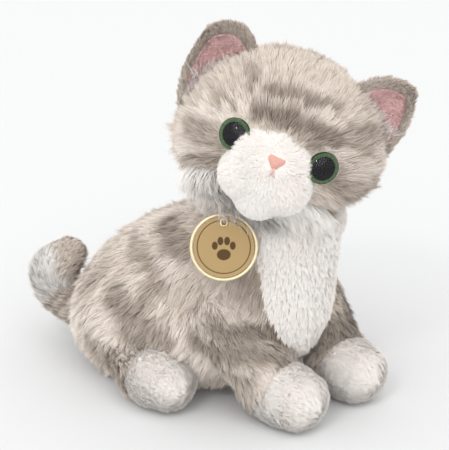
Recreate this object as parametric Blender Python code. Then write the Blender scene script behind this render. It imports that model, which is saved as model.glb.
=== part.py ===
"""Sitting plush kitten: sewn skins over stuffing, with sewn joints at neck, ears, legs, tail and tag."""
import math

import bmesh
import bpy
import numpy as np
from mathutils import Vector

# Lengths are in millimetres and angles in degrees. +X is the cat's left, -Y its front, +Z up.
MM = 0.001
GAP = 0.35
PANEL_GAP = 0.7
SEAT_GAP = 1.0
SKIN_WALL = 2.2
STUFFING_INSET = 3.6

# Torso: horizontal slices as (height, front y, back y, half width, how much wider the back is).
TORSO_SLICES = (
    (0.4, -36.0, 38.0, 39.0, 0.00),
    (5.0, -48.0, 48.0, 48.0, 0.05),
    (14.0, -66.0, 55.0, 53.0, 0.14),
    (27.0, -84.0, 57.0, 57.0, 0.22),
    (41.0, -92.0, 54.0, 57.5, 0.26),
    (55.0, -96.0, 46.0, 55.0, 0.24),
    (68.0, -97.0, 35.0, 50.5, 0.18),
    (80.0, -98.0, 19.0, 45.5, 0.12),
    (91.0, -99.0, -2.0, 40.5, 0.06),
    (102.0, -101.0, -30.0, 36.5, 0.02),
)
TORSO_SEGMENTS = 24
NECK_RIM = (112.5, -1.5, -70.0, 29.5)
DISH_RADII = (17.0, 11.5)
NECK_WELL_RADIUS = 10.2
NECK_WELL_FLOOR = 97.0
BIB_ROWS = (2, 9)
BIB_COLUMNS = 4

# Head: an egg about HEAD_CENTRE, turned to the cat's right, nodded and tilted.
HEAD_CENTRE = np.array([-2.0, -71.0, 149.0])
HEAD_TURN = -55.0
HEAD_PITCH = 8.0
HEAD_ROLL = 20.0
HEAD_RADII = (53.0, 46.0, 43.0)
NECK_SPHERE = 43.0
NECK_DISH = 43.7
HEAD_SEGMENTS = 24
HEAD_POLAR = (15.0, 28.0, 41.0, 54.0, 67.0, 80.0, 93.0, 106.0, 119.0, 132.0, 145.0, 158.0, 170.0)
CHIN_ROWS = (1, 4)
CHIN_COLUMNS = 3

# Face, in head coordinates (left, back, up).
MUZZLE_CENTRE = (0.0, -36.0, -12.0)
MUZZLE_RADII = (22.5, 22.5, 20.5)
MUZZLE_WALL = 1.8
EYE_DIRECTION = {"left": (25.5, -43.0, 1.5), "right": (-22.8, -44.1, 1.6)}
EYE_RADIUS = 8.3
PUPIL_RADIUS = 6.2
DOME_HEIGHT = 4.6
NOSE_DIRECTION = (2.0, -20.5, 11.0)

# Limbs: joint centre first, then points down to the toes, as (x, y, z, radius).
FORELEGS = {
    "right": ((-34.0, -56.0, 58.0, 14.5), (-33.5, -66.0, 44.0, 14.5), (-30.5, -79.0, 29.0, 14.0),
              (-28.0, -88.0, 19.0, 15.5), (-27.0, -97.0, 16.8, 16.8), (-27.0, -107.0, 15.5, 15.3)),
    "left": ((32.0, -60.0, 58.0, 14.5), (30.0, -71.0, 44.0, 14.5), (25.0, -85.0, 29.0, 14.0),
             (22.0, -94.0, 19.0, 15.5), (20.0, -103.0, 16.8, 16.8), (19.0, -112.0, 15.5, 15.3)),
}
HIND_LEGS = {
    "right": ((-45.0, -4.0, 22.0, 14.0), (-50.0, -14.0, 19.0, 14.5), (-53.5, -24.0, 17.3, 16.0),
              (-55.5, -33.0, 17.0, 16.5), (-57.0, -42.0, 16.0, 13.5)),
    "left": ((45.0, -4.0, 22.0, 14.0), (50.0, -14.0, 19.0, 14.5), (53.5, -24.0, 17.3, 16.0),
             (55.5, -33.0, 17.0, 16.5), (57.0, -42.0, 16.0, 13.5)),
}
FORE_LIFT = 20.0
HIND_LIFT = 10.0
LIMB_SEGMENTS = 12

# Tail: root segment and end segment meet at TAIL_MIDDLE.
TAIL_ROOT = ((-21.0, 36.0, 24.0, 11.0), (-26.0, 46.0, 25.5, 11.5), (-30.0, 54.0, 28.5, 11.5))
TAIL_MIDDLE = (-33.5, 60.5, 33.5, 11.5)
TAIL_END = ((-36.0, 63.8, 39.5, 11.6), (-37.0, 64.0, 46.5, 12.0),
            (-35.5, 61.5, 53.0, 10.5), (-31.5, 58.5, 57.5, 8.5))
TAIL_SWAY = 10.0

# Ears, in head coordinates as if both were on the left; the right one is mirrored, wider and rounder.
EAR_BASE_INNER = {"left": (30.5, 3.0, 37.0), "right": (31.0, -1.0, 34.0)}
EAR_BASE_OUTER = {"left": (55.0, 3.0, 1.0), "right": (57.5, -9.0, -7.0)}
EAR_TIPS = {"left": (55.5, -2.0, 47.0), "right": (53.0, -12.0, 42.0)}
EAR_ROUNDNESS = {"left": 2.2, "right": 3.0}
EAR_SINK = 8.0
EAR_THICKNESS = 2.6
EAR_CUP = 4.0
EAR_LIFT = 0.9
EAR_FLEX = 10.0

# Hanging tag: a round disc in a rim, facing forward and to the cat's right.
TAG_CENTRE = np.array([-49.0, -72.2, 102.0])
TAG_NORMAL = np.array([-0.71, -0.60, 0.37])
TAG_RADIUS = 17.5
TAG_RIM = 1.6
TAG_HOLE_UP = 12.5
TAG_LOOP_RADIUS = 4.0
TAG_LOOP_LEAN = 28.0

MATERIALS = {
    "grey_plush": ((0.52, 0.46, 0.40), 0.95),
    "white_plush": ((0.85, 0.81, 0.77), 0.95),
    "pink_plush": ((0.72, 0.50, 0.48), 0.9),
    "stuffing": ((0.93, 0.93, 0.91), 1.0),
    "bean_cloth": ((0.75, 0.74, 0.70), 0.9),
    "eye_green": ((0.12, 0.24, 0.08), 0.3),
    "eye_black": ((0.015, 0.015, 0.018), 0.2),
    "eye_clear": ((0.75, 0.78, 0.80), 0.05),
    "washer": ((0.85, 0.85, 0.82), 0.5),
    "nose_thread": ((0.80, 0.48, 0.42), 0.7),
    "mouth_thread": ((0.78, 0.55, 0.50), 0.7),
    "tag_face": ((0.45, 0.30, 0.14), 0.4),
    "tag_rim": ((0.80, 0.70, 0.48), 0.35),
    "tag_metal": ((0.75, 0.60, 0.35), 0.3),
    "tag_cord": ((0.60, 0.50, 0.35), 0.8),
}


def unit(vector):
    vector = np.asarray(vector, float)
    return vector / np.linalg.norm(vector)


def head_axes():
    """Head left, back and up as columns."""
    turn = math.radians(HEAD_TURN)
    pitch = math.radians(HEAD_PITCH)
    roll = math.radians(HEAD_ROLL)
    side = np.array([math.cos(turn), math.sin(turn), 0.0])
    away = np.array([-math.sin(turn), math.cos(turn), 0.0])
    front = -math.cos(pitch) * away + math.sin(pitch) * np.array([0.0, 0.0, 1.0])
    above = np.cross(side, -front)
    left = math.cos(roll) * side - math.sin(roll) * above
    up = math.cos(roll) * above + math.sin(roll) * side
    return np.stack([left, -front, up], 1)


HEAD_AXES = head_axes()


def from_head(point):
    return HEAD_CENTRE + HEAD_AXES @ np.asarray(point, float)


def smooth_step(value):
    value = min(max(value, 0.0), 1.0)
    return value * value * (3.0 - 2.0 * value)


def head_radius(direction):
    """Distance from the head's centre to its skin; round about the centre where it sits on the neck."""
    local = HEAD_AXES.T @ direction
    egg = 1.0 / math.sqrt(sum((local[k] / HEAD_RADII[k]) ** 2 for k in range(3)))
    below = math.degrees(math.acos(max(-1.0, min(1.0, -direction[2]))))
    blend = smooth_step((below - 50.0) / 20.0)
    return NECK_SPHERE * (1.0 - blend) + egg * blend


def head_grid(offset=0.0):
    rows = []
    for polar in HEAD_POLAR:
        row = []
        for k in range(HEAD_SEGMENTS):
            around = 2.0 * math.pi * k / HEAD_SEGMENTS + math.radians(HEAD_TURN - 90.0)
            theta = math.radians(polar)
            direction = np.array([
                math.sin(theta) * math.cos(around), math.sin(theta) * math.sin(around), -math.cos(theta)])
            row.append(HEAD_CENTRE + direction * (head_radius(direction) + offset))
        rows.append(row)
    return np.array(rows)


def on_head(point, offset):
    direction = unit(point - HEAD_CENTRE)
    return HEAD_CENTRE + direction * (head_radius(direction) + offset)


def head_top(offset=0.0):
    up = np.array([0.0, 0.0, 1.0])
    return HEAD_CENTRE + up * (head_radius(up) + offset)


def torso_grid():
    rows = []
    for height, front, back, half_width, wider in TORSO_SLICES:
        row = []
        for k in range(TORSO_SEGMENTS):
            around = 2.0 * math.pi * k / TORSO_SEGMENTS
            forward = -math.cos(around)
            width = half_width * math.sin(around) * (1.0 + wider * forward)
            row.append((width, (front + back) / 2 + (back - front) / 2 * forward, height))
        rows.append(row)
    height, x, y, radius = NECK_RIM
    ring = [2.0 * math.pi * k / TORSO_SEGMENTS for k in range(TORSO_SEGMENTS)]
    rows.append([(x + radius * math.sin(a), y - radius * math.cos(a), height) for a in ring])
    for radius in DISH_RADII:
        depth = math.sqrt(NECK_DISH ** 2 - radius ** 2)
        rows.append([HEAD_CENTRE + (radius * math.sin(a), -radius * math.cos(a), -depth) for a in ring])
    rows = np.array(rows)
    away = rows - HEAD_CENTRE
    distance = np.linalg.norm(away, axis=2, keepdims=True)
    return np.where(distance < NECK_DISH, HEAD_CENTRE + away / distance * NECK_DISH, rows)


def path_rings(path, segments, cap_angles=()):
    """Rings square to a path of (x, y, z, radius); cap_angles add rounded rings before the first point."""
    path = np.array(path, float)
    centres = path[:, :3]
    radii = path[:, 3]
    tangents = np.gradient(centres, axis=0)
    rows = []
    side = unit(np.cross(tangents[0], (0.0, 0.0, 1.0)))
    first = unit(tangents[0])
    up = np.cross(side, first)
    ring = [2.0 * math.pi * k / segments for k in range(segments)]
    for angle in cap_angles:
        back = radii[0] * math.sin(math.radians(angle))
        radius = radii[0] * math.cos(math.radians(angle))
        centre = centres[0] - first * back
        rows.append([centre + radius * (math.cos(a) * side + math.sin(a) * up) for a in ring])
    for centre, radius, tangent in zip(centres, radii, tangents):
        tangent = unit(tangent)
        side = unit(side - tangent * side.dot(tangent))
        up = np.cross(side, tangent)
        rows.append([centre + radius * (math.cos(a) * side + math.sin(a) * up) for a in ring])
    return np.array(rows)


def offset_grid(grid, distance):
    """Move each point of a closed-round grid along its own normal; positive is outwards."""
    along = np.gradient(grid, axis=0)
    around = np.roll(grid, -1, axis=1) - np.roll(grid, 1, axis=1)
    normal = np.cross(around, along)
    normal /= np.linalg.norm(normal, axis=2, keepdims=True)
    outward = grid - grid.mean(axis=1, keepdims=True)
    if (normal * outward).sum() < 0:
        normal = -normal
    return grid + normal * distance


def remove_everything():
    for item in list(bpy.data.objects):
        bpy.data.objects.remove(item, do_unlink=True)


def material(name):
    if name in bpy.data.materials:
        return bpy.data.materials[name]
    colour, roughness = MATERIALS[name]
    made = bpy.data.materials.new(name)
    made.use_nodes = True
    shader = made.node_tree.nodes["Principled BSDF"]
    shader.inputs["Base Color"].default_value = (*colour, 1.0)
    shader.inputs["Roughness"].default_value = roughness
    shader.inputs["Metallic"].default_value = 0.8 if name == "tag_metal" else 0.0
    made.diffuse_color = (*colour, 1.0)
    return made


def empty(name, point, parent=None):
    made = bpy.data.objects.new(name, None)
    made.location = Vector(point) * MM
    if parent is not None:
        made.parent = parent
        made.location = (Vector(point) - Vector(pivot_point(parent))) * MM
    made["pivot"] = [float(value) for value in point]
    bpy.context.collection.objects.link(made)
    return made


def pivot_point(holder):
    return tuple(holder["pivot"])


def add_object(name, points, faces, slot, holder, cutter=False):
    """Make a mesh from points in world millimetres, parented to the empty its body turns about."""
    pivot = np.array(pivot_point(holder))
    mesh = bpy.data.meshes.new(name)
    built = bmesh.new()
    vertices = [built.verts.new((np.asarray(p, float) - pivot) * MM) for p in points]
    for face in faces:
        built.faces.new([vertices[k] for k in face])
    bmesh.ops.recalc_face_normals(built, faces=built.faces)
    built.to_mesh(mesh)
    built.free()
    made = bpy.data.objects.new(name, mesh)
    made.parent = holder
    bpy.context.collection.objects.link(made)
    if cutter:
        made.hide_render = True
        made.display_type = "WIRE"
        return made
    mesh.materials.append(material(slot))
    for polygon in mesh.polygons:
        polygon.use_smooth = True
    return made


def strip(rows, columns, start, closed=True):
    faces = []
    for i in range(rows - 1):
        for k in range(columns if closed else columns - 1):
            a = start + i * columns + k
            b = start + i * columns + (k + 1) % columns
            faces.append((a, b, b + columns, a + columns))
    return faces


def loft(name, grid, slot, holder, start=None, end=None, looped=False, cutter=False):
    """Skin a stack of rings; start and end are pole points, or None for a flat cap."""
    rows, columns = grid.shape[:2]
    points = [tuple(p) for p in grid.reshape(-1, 3)]
    faces = strip(rows, columns, 0)
    last = (rows - 1) * columns
    if looped:
        for k in range(columns):
            n = (k + 1) % columns
            faces.append((last + k, last + n, n, k))
        return add_object(name, points, faces, slot, holder, cutter)
    for pole, base in ((start, 0), (end, last)):
        if pole is None:
            faces.append(tuple(base + k for k in range(columns)))
            continue
        points.append(tuple(pole))
        tip = len(points) - 1
        for k in range(columns):
            faces.append((base + k, base + (k + 1) % columns, tip))
    return add_object(name, points, faces, slot, holder, cutter)


def split_at(grid, row):
    """Two grids that meet at a seam row, each drawn back by half of GAP."""
    ends = []
    for near in (row - 1, row + 1):
        step = grid[near] - grid[row]
        ends.append(grid[row] + step / np.linalg.norm(step, axis=1, keepdims=True) * GAP / 2)
    return np.concatenate([grid[:row], ends[0][None]]), np.concatenate([ends[1][None], grid[row + 1:]])


def open_shell(name, grid, inner, slot, holder):
    """A skin open at both ends."""
    return loft(name, np.concatenate([grid, inner[::-1]]), slot, holder, looped=True)


def pocket_shell(name, grid, inner, pole, wall, slot, holder):
    """A skin open at its first ring and closed at a pole past its last."""
    inner_pole = pole - unit(pole - grid[-1].mean(axis=0)) * wall
    rings = np.concatenate([grid[::-1], inner])
    return loft(name, rings, slot, holder, start=pole, end=inner_pole)


def panelled_shell(name, grid, wall, slot, holder, rows, columns, pole=None):
    """A skin with a rectangular window of missing cells, open at its first ring."""
    inner = offset_grid(grid, -wall)
    count, around = grid.shape[:2]
    points = [tuple(p) for p in grid.reshape(-1, 3)] + [tuple(p) for p in inner.reshape(-1, 3)]
    shift = count * around
    kept = {(i, k) for i in range(count - 1) for k in range(around)}
    kept -= {(i, k % around) for i in range(*rows) for k in range(-columns, columns)}
    faces = cell_faces(kept, around, shift)
    last = (count - 1) * around
    if pole is None:
        faces += [(last + k, last + (k + 1) % around, last + shift + (k + 1) % around, last + shift + k)
                  for k in range(around)]
    else:
        inner_pole = pole - unit(pole - grid[-1].mean(axis=0)) * wall
        points += [tuple(pole), tuple(inner_pole)]
        faces += [(last + k, last + (k + 1) % around, 2 * shift) for k in range(around)]
        faces += [(last + shift + k, last + shift + (k + 1) % around, 2 * shift + 1) for k in range(around)]
    faces += [(k, (k + 1) % around, shift + (k + 1) % around, shift + k) for k in range(around)]
    return add_object(name, points, faces, slot, holder)


def cell_faces(cells, around, shift):
    """Outer and inner quads for a set of cells, with walls on the edges that no second cell shares."""
    faces = []
    edges = {}
    for i, k in sorted(cells):
        n = (k + 1) % around
        corners = (i * around + k, i * around + n, (i + 1) * around + n, (i + 1) * around + k)
        faces.append(corners)
        faces.append(tuple(c + shift for c in reversed(corners)))
        for a, b in zip(corners, corners[1:] + corners[:1]):
            key = (min(a, b), max(a, b))
            edges[key] = edges.get(key, 0) + 1
    top = max(i for i, k in cells) + 1
    for (a, b), uses in edges.items():
        on_end = {a // around, b // around} in ({0}, {top})
        if uses == 1 and not on_end:
            faces.append((a, b, b + shift, a + shift))
    return faces


def panel(name, grid, wall, slot, holder, rows, columns):
    """The piece of cloth that fills a panelled_shell's window, drawn in by PANEL_GAP on every side."""
    inner = offset_grid(grid, -wall)
    around = grid.shape[1]
    picks = [k % around for k in range(-columns, columns + 1)]
    layers = []
    for layer in (grid, inner):
        patch = layer[rows[0]:rows[1] + 1][:, picks].copy()
        for edge, near in ((0, 1), (-1, -2)):
            across = patch[:, near] - patch[:, edge]
            patch[:, edge] += across / np.linalg.norm(across, axis=1, keepdims=True) * PANEL_GAP
            along = patch[near] - patch[edge]
            patch[edge] += along / np.linalg.norm(along, axis=1, keepdims=True) * PANEL_GAP
        layers.append(patch)
    height, width = layers[0].shape[:2]
    points = [tuple(p) for layer in layers for p in layer.reshape(-1, 3)]
    shift = height * width
    faces = strip(height, width, 0, closed=False) + strip(height, width, shift, closed=False)
    border = [(0, k) for k in range(width)] + [(i, width - 1) for i in range(1, height)]
    border += [(height - 1, k) for k in range(width - 2, -1, -1)] + [(i, 0) for i in range(height - 2, 0, -1)]
    loop = [i * width + k for i, k in border]
    for a, b in zip(loop, loop[1:] + loop[:1]):
        faces.append((a, b, b + shift, a + shift))
    return add_object(name, points, faces, slot, holder)


def turned(points, centre, axis, degrees):
    """Turn points about an axis through a centre."""
    axis = unit(axis)
    angle = math.radians(degrees)
    away = points - centre
    along = (away @ axis)[..., None] * axis
    square = away - along
    return centre + along + square * math.cos(angle) + np.cross(axis, square) * math.sin(angle)


def hull_cutter(name, points, holder):
    """A convex cutter round every given point."""
    mesh = bpy.data.meshes.new(name)
    built = bmesh.new()
    pivot = np.array(pivot_point(holder))
    for point in points.reshape(-1, 3):
        built.verts.new((point - pivot) * MM)
    result = bmesh.ops.convex_hull(built, input=built.verts)
    loose = [item for item in result["geom_interior"] if isinstance(item, bmesh.types.BMVert)]
    bmesh.ops.delete(built, geom=loose, context="VERTS")
    bmesh.ops.recalc_face_normals(built, faces=built.faces)
    built.to_mesh(mesh)
    built.free()
    made = bpy.data.objects.new(name, mesh)
    made.parent = holder
    made.hide_render = True
    made.display_type = "WIRE"
    bpy.context.collection.objects.link(made)
    return made


def cut(target, cutter):
    step = target.modifiers.new("cut_" + cutter.name, "BOOLEAN")
    step.operation = "DIFFERENCE"
    step.solver = "EXACT"
    step.object = cutter


def lathe(profile, centre, axis, segments):
    """Rings about an axis from (along, radius) pairs."""
    axis = unit(axis)
    side = unit(np.cross(axis, (0.31, 0.17, 0.93)))
    up = np.cross(axis, side)
    rows = []
    for along, radius in profile:
        middle = np.asarray(centre) + axis * along
        ring = [2.0 * math.pi * k / segments for k in range(segments)]
        rows.append([middle + radius * (math.cos(a) * side + math.sin(a) * up) for a in ring])
    return np.array(rows)


def above_floor(grid, lowest):
    grid = grid.copy()
    grid[..., 2] = np.maximum(grid[..., 2], lowest)
    return grid



def build_torso(root):
    grid = torso_grid()
    skin = panelled_shell("torso_skin", grid, SKIN_WALL, "grey_plush", root, BIB_ROWS, BIB_COLUMNS)
    bib = panel("chest_panel", grid, SKIN_WALL, "white_plush", root, BIB_ROWS, BIB_COLUMNS)
    inside = offset_grid(grid, -STUFFING_INSET)
    well = NECK_WELL_RADIUS * (inside[-1] - inside[-1].mean(axis=0)) / np.linalg.norm(
        inside[-1] - inside[-1].mean(axis=0), axis=1, keepdims=True)
    well = well + (HEAD_CENTRE[0], HEAD_CENTRE[1], NECK_WELL_FLOOR)
    filling = loft("torso_stuffing", np.concatenate([inside[3:], well[None]]), "stuffing", root)
    seat = lathe(((0.0, 1.0), (2.4, 1.0)), (0.0, 0.0, 0.0), (0.0, 0.0, 1.0), TORSO_SEGMENTS)
    height, front, back, half_width, wider = TORSO_SLICES[0]
    middle = (front + back) / 2
    seat[..., 0] *= half_width - SKIN_WALL - SEAT_GAP
    seat[..., 1] = middle + seat[..., 1] * ((back - front) / 2 - SKIN_WALL - SEAT_GAP)
    loft("base_panel", seat, "grey_plush", root)
    beans = lathe(((3.0, 17.0), (6.0, 24.0), (12.0, 27.0), (18.0, 24.0), (22.0, 15.0)),
                  (0.0, 2.0, 0.0), (0.0, 0.0, 1.0), 20)
    loft("bean_pouch", beans, "bean_cloth", root)
    return skin, bib, filling


def build_limb(side, kind, path, root, lift, torso_parts, seam_row):
    """A sewn tube with a paw, turning about X at its first point, and the room it needs in the torso."""
    pivot = np.array(path[0][:3])
    holder = empty(kind + "_" + side + "_joint", pivot, root)
    rings = path_rings(path, LIMB_SEGMENTS, (58.0, 30.0))
    rings = above_floor(rings, 0.0)
    tip_centre = rings[-1].mean(axis=0)
    toe = tip_centre + unit(np.array(path[-1][:3]) - np.array(path[-2][:3])) * path[-1][3] * 0.55
    near_toe = tip_centre + (rings[-1] - tip_centre) * 0.62 + (toe - tip_centre) * 0.7
    rings = np.concatenate([rings, near_toe[None]])
    rings = above_floor(rings, 0.0)
    leg, paw = split_at(rings, seam_row)
    leg_inner, paw_inner = split_at(offset_grid(rings, -SKIN_WALL), seam_row)
    open_shell(kind + "_" + side + "_skin", leg, leg_inner, "grey_plush", holder)
    pocket_shell(kind + "_" + side + "_paw", paw, paw_inner, toe, SKIN_WALL, "white_plush", holder)
    inside = offset_grid(rings, -STUFFING_INSET)
    end = toe - unit(toe - tip_centre) * STUFFING_INSET
    loft(kind + "_" + side + "_stuffing", inside[1:], "stuffing", holder, end=end)
    wide = offset_grid(rings, 0.7)
    first = wide[0].mean(axis=0)
    back = first - unit(np.array(path[1][:3]) - pivot) * 3.5
    cloud = [wide.reshape(-1, 3), back[None]]
    swept = np.concatenate([turned(np.concatenate(cloud), pivot, (1.0, 0.0, 0.0), -angle)
                            for angle in (0.0, lift / 2, lift)])
    cutter = hull_cutter(kind + "_" + side + "_room", swept, root)
    for part in torso_parts:
        cut(part, cutter)
    return cutter


def build_tail(root, torso_parts):
    pivot = np.array(TAIL_ROOT[0][:3])
    middle = np.array(TAIL_MIDDLE[:3])
    radius = TAIL_MIDDLE[3]
    holder = empty("tail_joint", pivot, root)
    tip_holder = empty("tail_tip_joint", middle, holder)
    rings = path_rings(TAIL_ROOT + (TAIL_MIDDLE,), LIMB_SEGMENTS, (58.0, 30.0))
    rings = rings[:-1]
    forward = unit(middle - np.array(TAIL_ROOT[-1][:3]))
    last = rings[-1] - TAIL_ROOT[-1][:3]
    last /= np.linalg.norm(last, axis=1, keepdims=True)
    socket = []
    for angle in (26.0, 48.0):
        spread = (radius + 0.6) * math.cos(math.radians(angle))
        depth = (radius + 0.6) * math.sin(math.radians(angle))
        square = last - (last @ forward)[:, None] * forward
        square /= np.linalg.norm(square, axis=1, keepdims=True)
        socket.append(middle - forward * depth + square * spread)
    root_grid = np.concatenate([rings, np.array(socket)])
    inner = offset_grid(rings, -SKIN_WALL)
    shell = np.concatenate([root_grid, inner[::-1]])
    loft("tail_root_skin", shell, "grey_plush", holder, looped=True)
    inside = offset_grid(rings, -STUFFING_INSET)[:-1]
    loft("tail_root_stuffing", inside[1:], "stuffing", holder)
    end_rings = path_rings((TAIL_MIDDLE,) + TAIL_END, LIMB_SEGMENTS, (58.0, 30.0))
    tip_centre = end_rings[-1].mean(axis=0)
    toward = unit(np.array(TAIL_END[-1][:3]) - np.array(TAIL_END[-2][:3]))
    tip = tip_centre + toward * TAIL_END[-1][3] * 0.8
    inner = offset_grid(end_rings, -SKIN_WALL)
    pocket_shell("tail_end_skin", end_rings, inner, tip, SKIN_WALL, "grey_plush", tip_holder)
    inside = offset_grid(end_rings, -STUFFING_INSET)
    loft("tail_end_stuffing", inside[1:], "stuffing", tip_holder, end=tip - toward * STUFFING_INSET)
    wide = offset_grid(root_grid, 0.7).reshape(-1, 3)
    cloud = np.concatenate([turned(wide, pivot, (0.0, 0.0, 1.0), a) for a in (-TAIL_SWAY, 0.0, TAIL_SWAY)])
    cutter = hull_cutter("tail_room", cloud, root)
    for part in torso_parts:
        cut(part, cutter)


def muzzle_rings(radii, lift, count):
    """Rings from the muzzle's front pole back to where it meets the head's skin."""
    centre = np.array(MUZZLE_CENTRE)
    rows = np.zeros((count, 20, 3))
    for k in range(20):
        around = 2.0 * math.pi * k / 20
        low = math.radians(20.0)
        high = math.radians(150.0)
        for step in range(30):
            polar = (low + high) / 2
            point = centre + np.array(radii) * (
                math.sin(polar) * math.cos(around), -math.cos(polar), math.sin(polar) * math.sin(around))
            direction = HEAD_AXES @ unit(point)
            if np.linalg.norm(point) > head_radius(direction) + lift:
                low = polar
            else:
                high = polar
        for i in range(count):
            polar = low * (i + 1) / count
            rows[i, k] = from_head(centre + np.array(radii) * (
                math.sin(polar) * math.cos(around), -math.cos(polar), math.sin(polar) * math.sin(around)))
    return rows


def muzzle_point(direction, above):
    """Point on the muzzle's front in world millimetres, and its outward direction."""
    radii = np.array(MUZZLE_RADII)
    direction = np.asarray(direction, float)
    local = direction / np.linalg.norm(direction / radii)
    normal = unit(local / radii ** 2)
    return from_head(np.array(MUZZLE_CENTRE) + local + normal * above), HEAD_AXES @ normal


def build_head(nod):
    grid = head_grid()
    top = head_top()
    skin = panelled_shell("head_skin", grid, SKIN_WALL, "grey_plush", nod, CHIN_ROWS, CHIN_COLUMNS, top)
    panel("chin_panel", grid, SKIN_WALL, "white_plush", nod, CHIN_ROWS, CHIN_COLUMNS)
    inside = offset_grid(grid, -STUFFING_INSET)
    filling = loft("head_stuffing", inside, "stuffing", nod, end=head_top(-STUFFING_INSET))
    outer = muzzle_rings(MUZZLE_RADII, 0.6, 7)
    inner = muzzle_rings(np.array(MUZZLE_RADII) - MUZZLE_WALL, 0.6, 7)
    front = from_head(np.array(MUZZLE_CENTRE) - (0.0, MUZZLE_RADII[1], 0.0))
    back = from_head(np.array(MUZZLE_CENTRE) - (0.0, MUZZLE_RADII[1] - MUZZLE_WALL, 0.0))
    rings = np.concatenate([outer, inner[::-1]])
    muzzle = loft("muzzle_skin", rings, "white_plush", nod, start=front, end=back)
    pad = muzzle_rings(np.array(MUZZLE_RADII) - MUZZLE_WALL - 0.7, 1.3, 6)
    front = from_head(np.array(MUZZLE_CENTRE) - (0.0, MUZZLE_RADII[1] - MUZZLE_WALL - 0.7, 0.0))
    middle = pad[-1].mean(axis=0)
    floor_rings = [[on_head(middle + (point - middle) * share, 1.3) for point in pad[-1]]
                   for share in (0.75, 0.5, 0.25)]
    pad = np.concatenate([pad, np.array(floor_rings)])
    pad = loft("muzzle_stuffing", pad, "stuffing", nod, start=front, end=on_head(middle, 1.3))
    return skin, filling, (muzzle, pad)


def build_face(nod, skin, filling, muzzle_parts):
    for side in ("right", "left"):
        local = np.array(EYE_DIRECTION[side])
        direction = HEAD_AXES @ unit(local / np.array(HEAD_RADII) ** 2)
        seat = on_head(from_head(local), 0.0) + direction * 0.6
        post = ((-7.8, 1.7), (0.0, 1.7), (0.0, EYE_RADIUS - 0.5), (0.7, EYE_RADIUS), (1.5, EYE_RADIUS))
        loft("eye_" + side + "_iris", lathe(post, seat, direction, 16), "eye_green", nod)
        dome = []
        for angle in (0.0, 22.0, 45.0, 68.0):
            bend = math.radians(angle)
            dome.append((2.6 + DOME_HEIGHT * math.sin(bend), EYE_RADIUS * math.cos(bend)))
        top = seat + direction * (2.6 + DOME_HEIGHT)
        loft("eye_" + side + "_dome", lathe(dome, seat, direction, 16), "eye_clear", nod, end=top)
        pupil = ((1.85, PUPIL_RADIUS), (2.25, PUPIL_RADIUS))
        loft("eye_" + side + "_pupil", lathe(pupil, seat, direction, 16), "eye_black", nod)
        ring = ((-5.0, 2.1), (-5.0, 5.5), (-4.0, 5.5), (-4.0, 2.1))
        loft("eye_" + side + "_washer", lathe(ring, seat, direction, 12), "washer", nod, looped=True)
        hole = lathe(((-6.0, 2.3), (6.0, 2.3)), seat, direction, 12)
        cut(skin, loft("eye_" + side + "_hole", hole, None, nod, cutter=True))
        pocket = lathe(((-10.0, EYE_RADIUS + 0.9), (9.0, EYE_RADIUS + 0.9)), seat, direction, 16)
        pocket = loft("eye_" + side + "_pocket", pocket, None, nod, cutter=True)
        for part in muzzle_parts + (filling,):
            cut(part, pocket)
    centre, normal = muzzle_point(NOSE_DIRECTION, 0.5)
    across = unit(HEAD_AXES[:, 0] - normal * normal.dot(HEAD_AXES[:, 0]))
    above = np.cross(normal, across)
    if above.dot(HEAD_AXES[:, 2]) < 0:
        above = -above
    outline = ((0.0, -3.1), (1.4, -2.0), (3.0, 0.0), (4.2, 1.6), (3.6, 2.7), (1.8, 3.1))
    outline = outline + tuple((-x, y) for x, y in reversed(outline[1:-1])) + ((-1.8, 3.1),)
    rows = []
    for height, scale in ((0.0, 1.0), (0.8, 1.0), (1.5, 0.72)):
        rows.append([centre + normal * height + (across * x + above * y) * scale for x, y in outline])
    loft("nose", np.array(rows), "nose_thread", nod, end=centre + normal * 1.8)
    marks = ((-6.5, -8.6), (-4.5, -9.6), (-2.2, -8.8), (-0.8, -6.8), (-0.55, -4.6), (0.0, -3.9),
             (0.55, -4.6), (0.8, -6.8), (2.2, -8.8), (4.5, -9.6), (6.5, -8.6))
    thread = []
    for x, y in marks:
        at = np.array(NOSE_DIRECTION) + (x, 0.0, y)
        point, outward = muzzle_point(at, 0.85)
        thread.append((*point, 0.32))
    loft("mouth_stitch", path_rings(thread, 6), "mouth_thread", nod)


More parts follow.
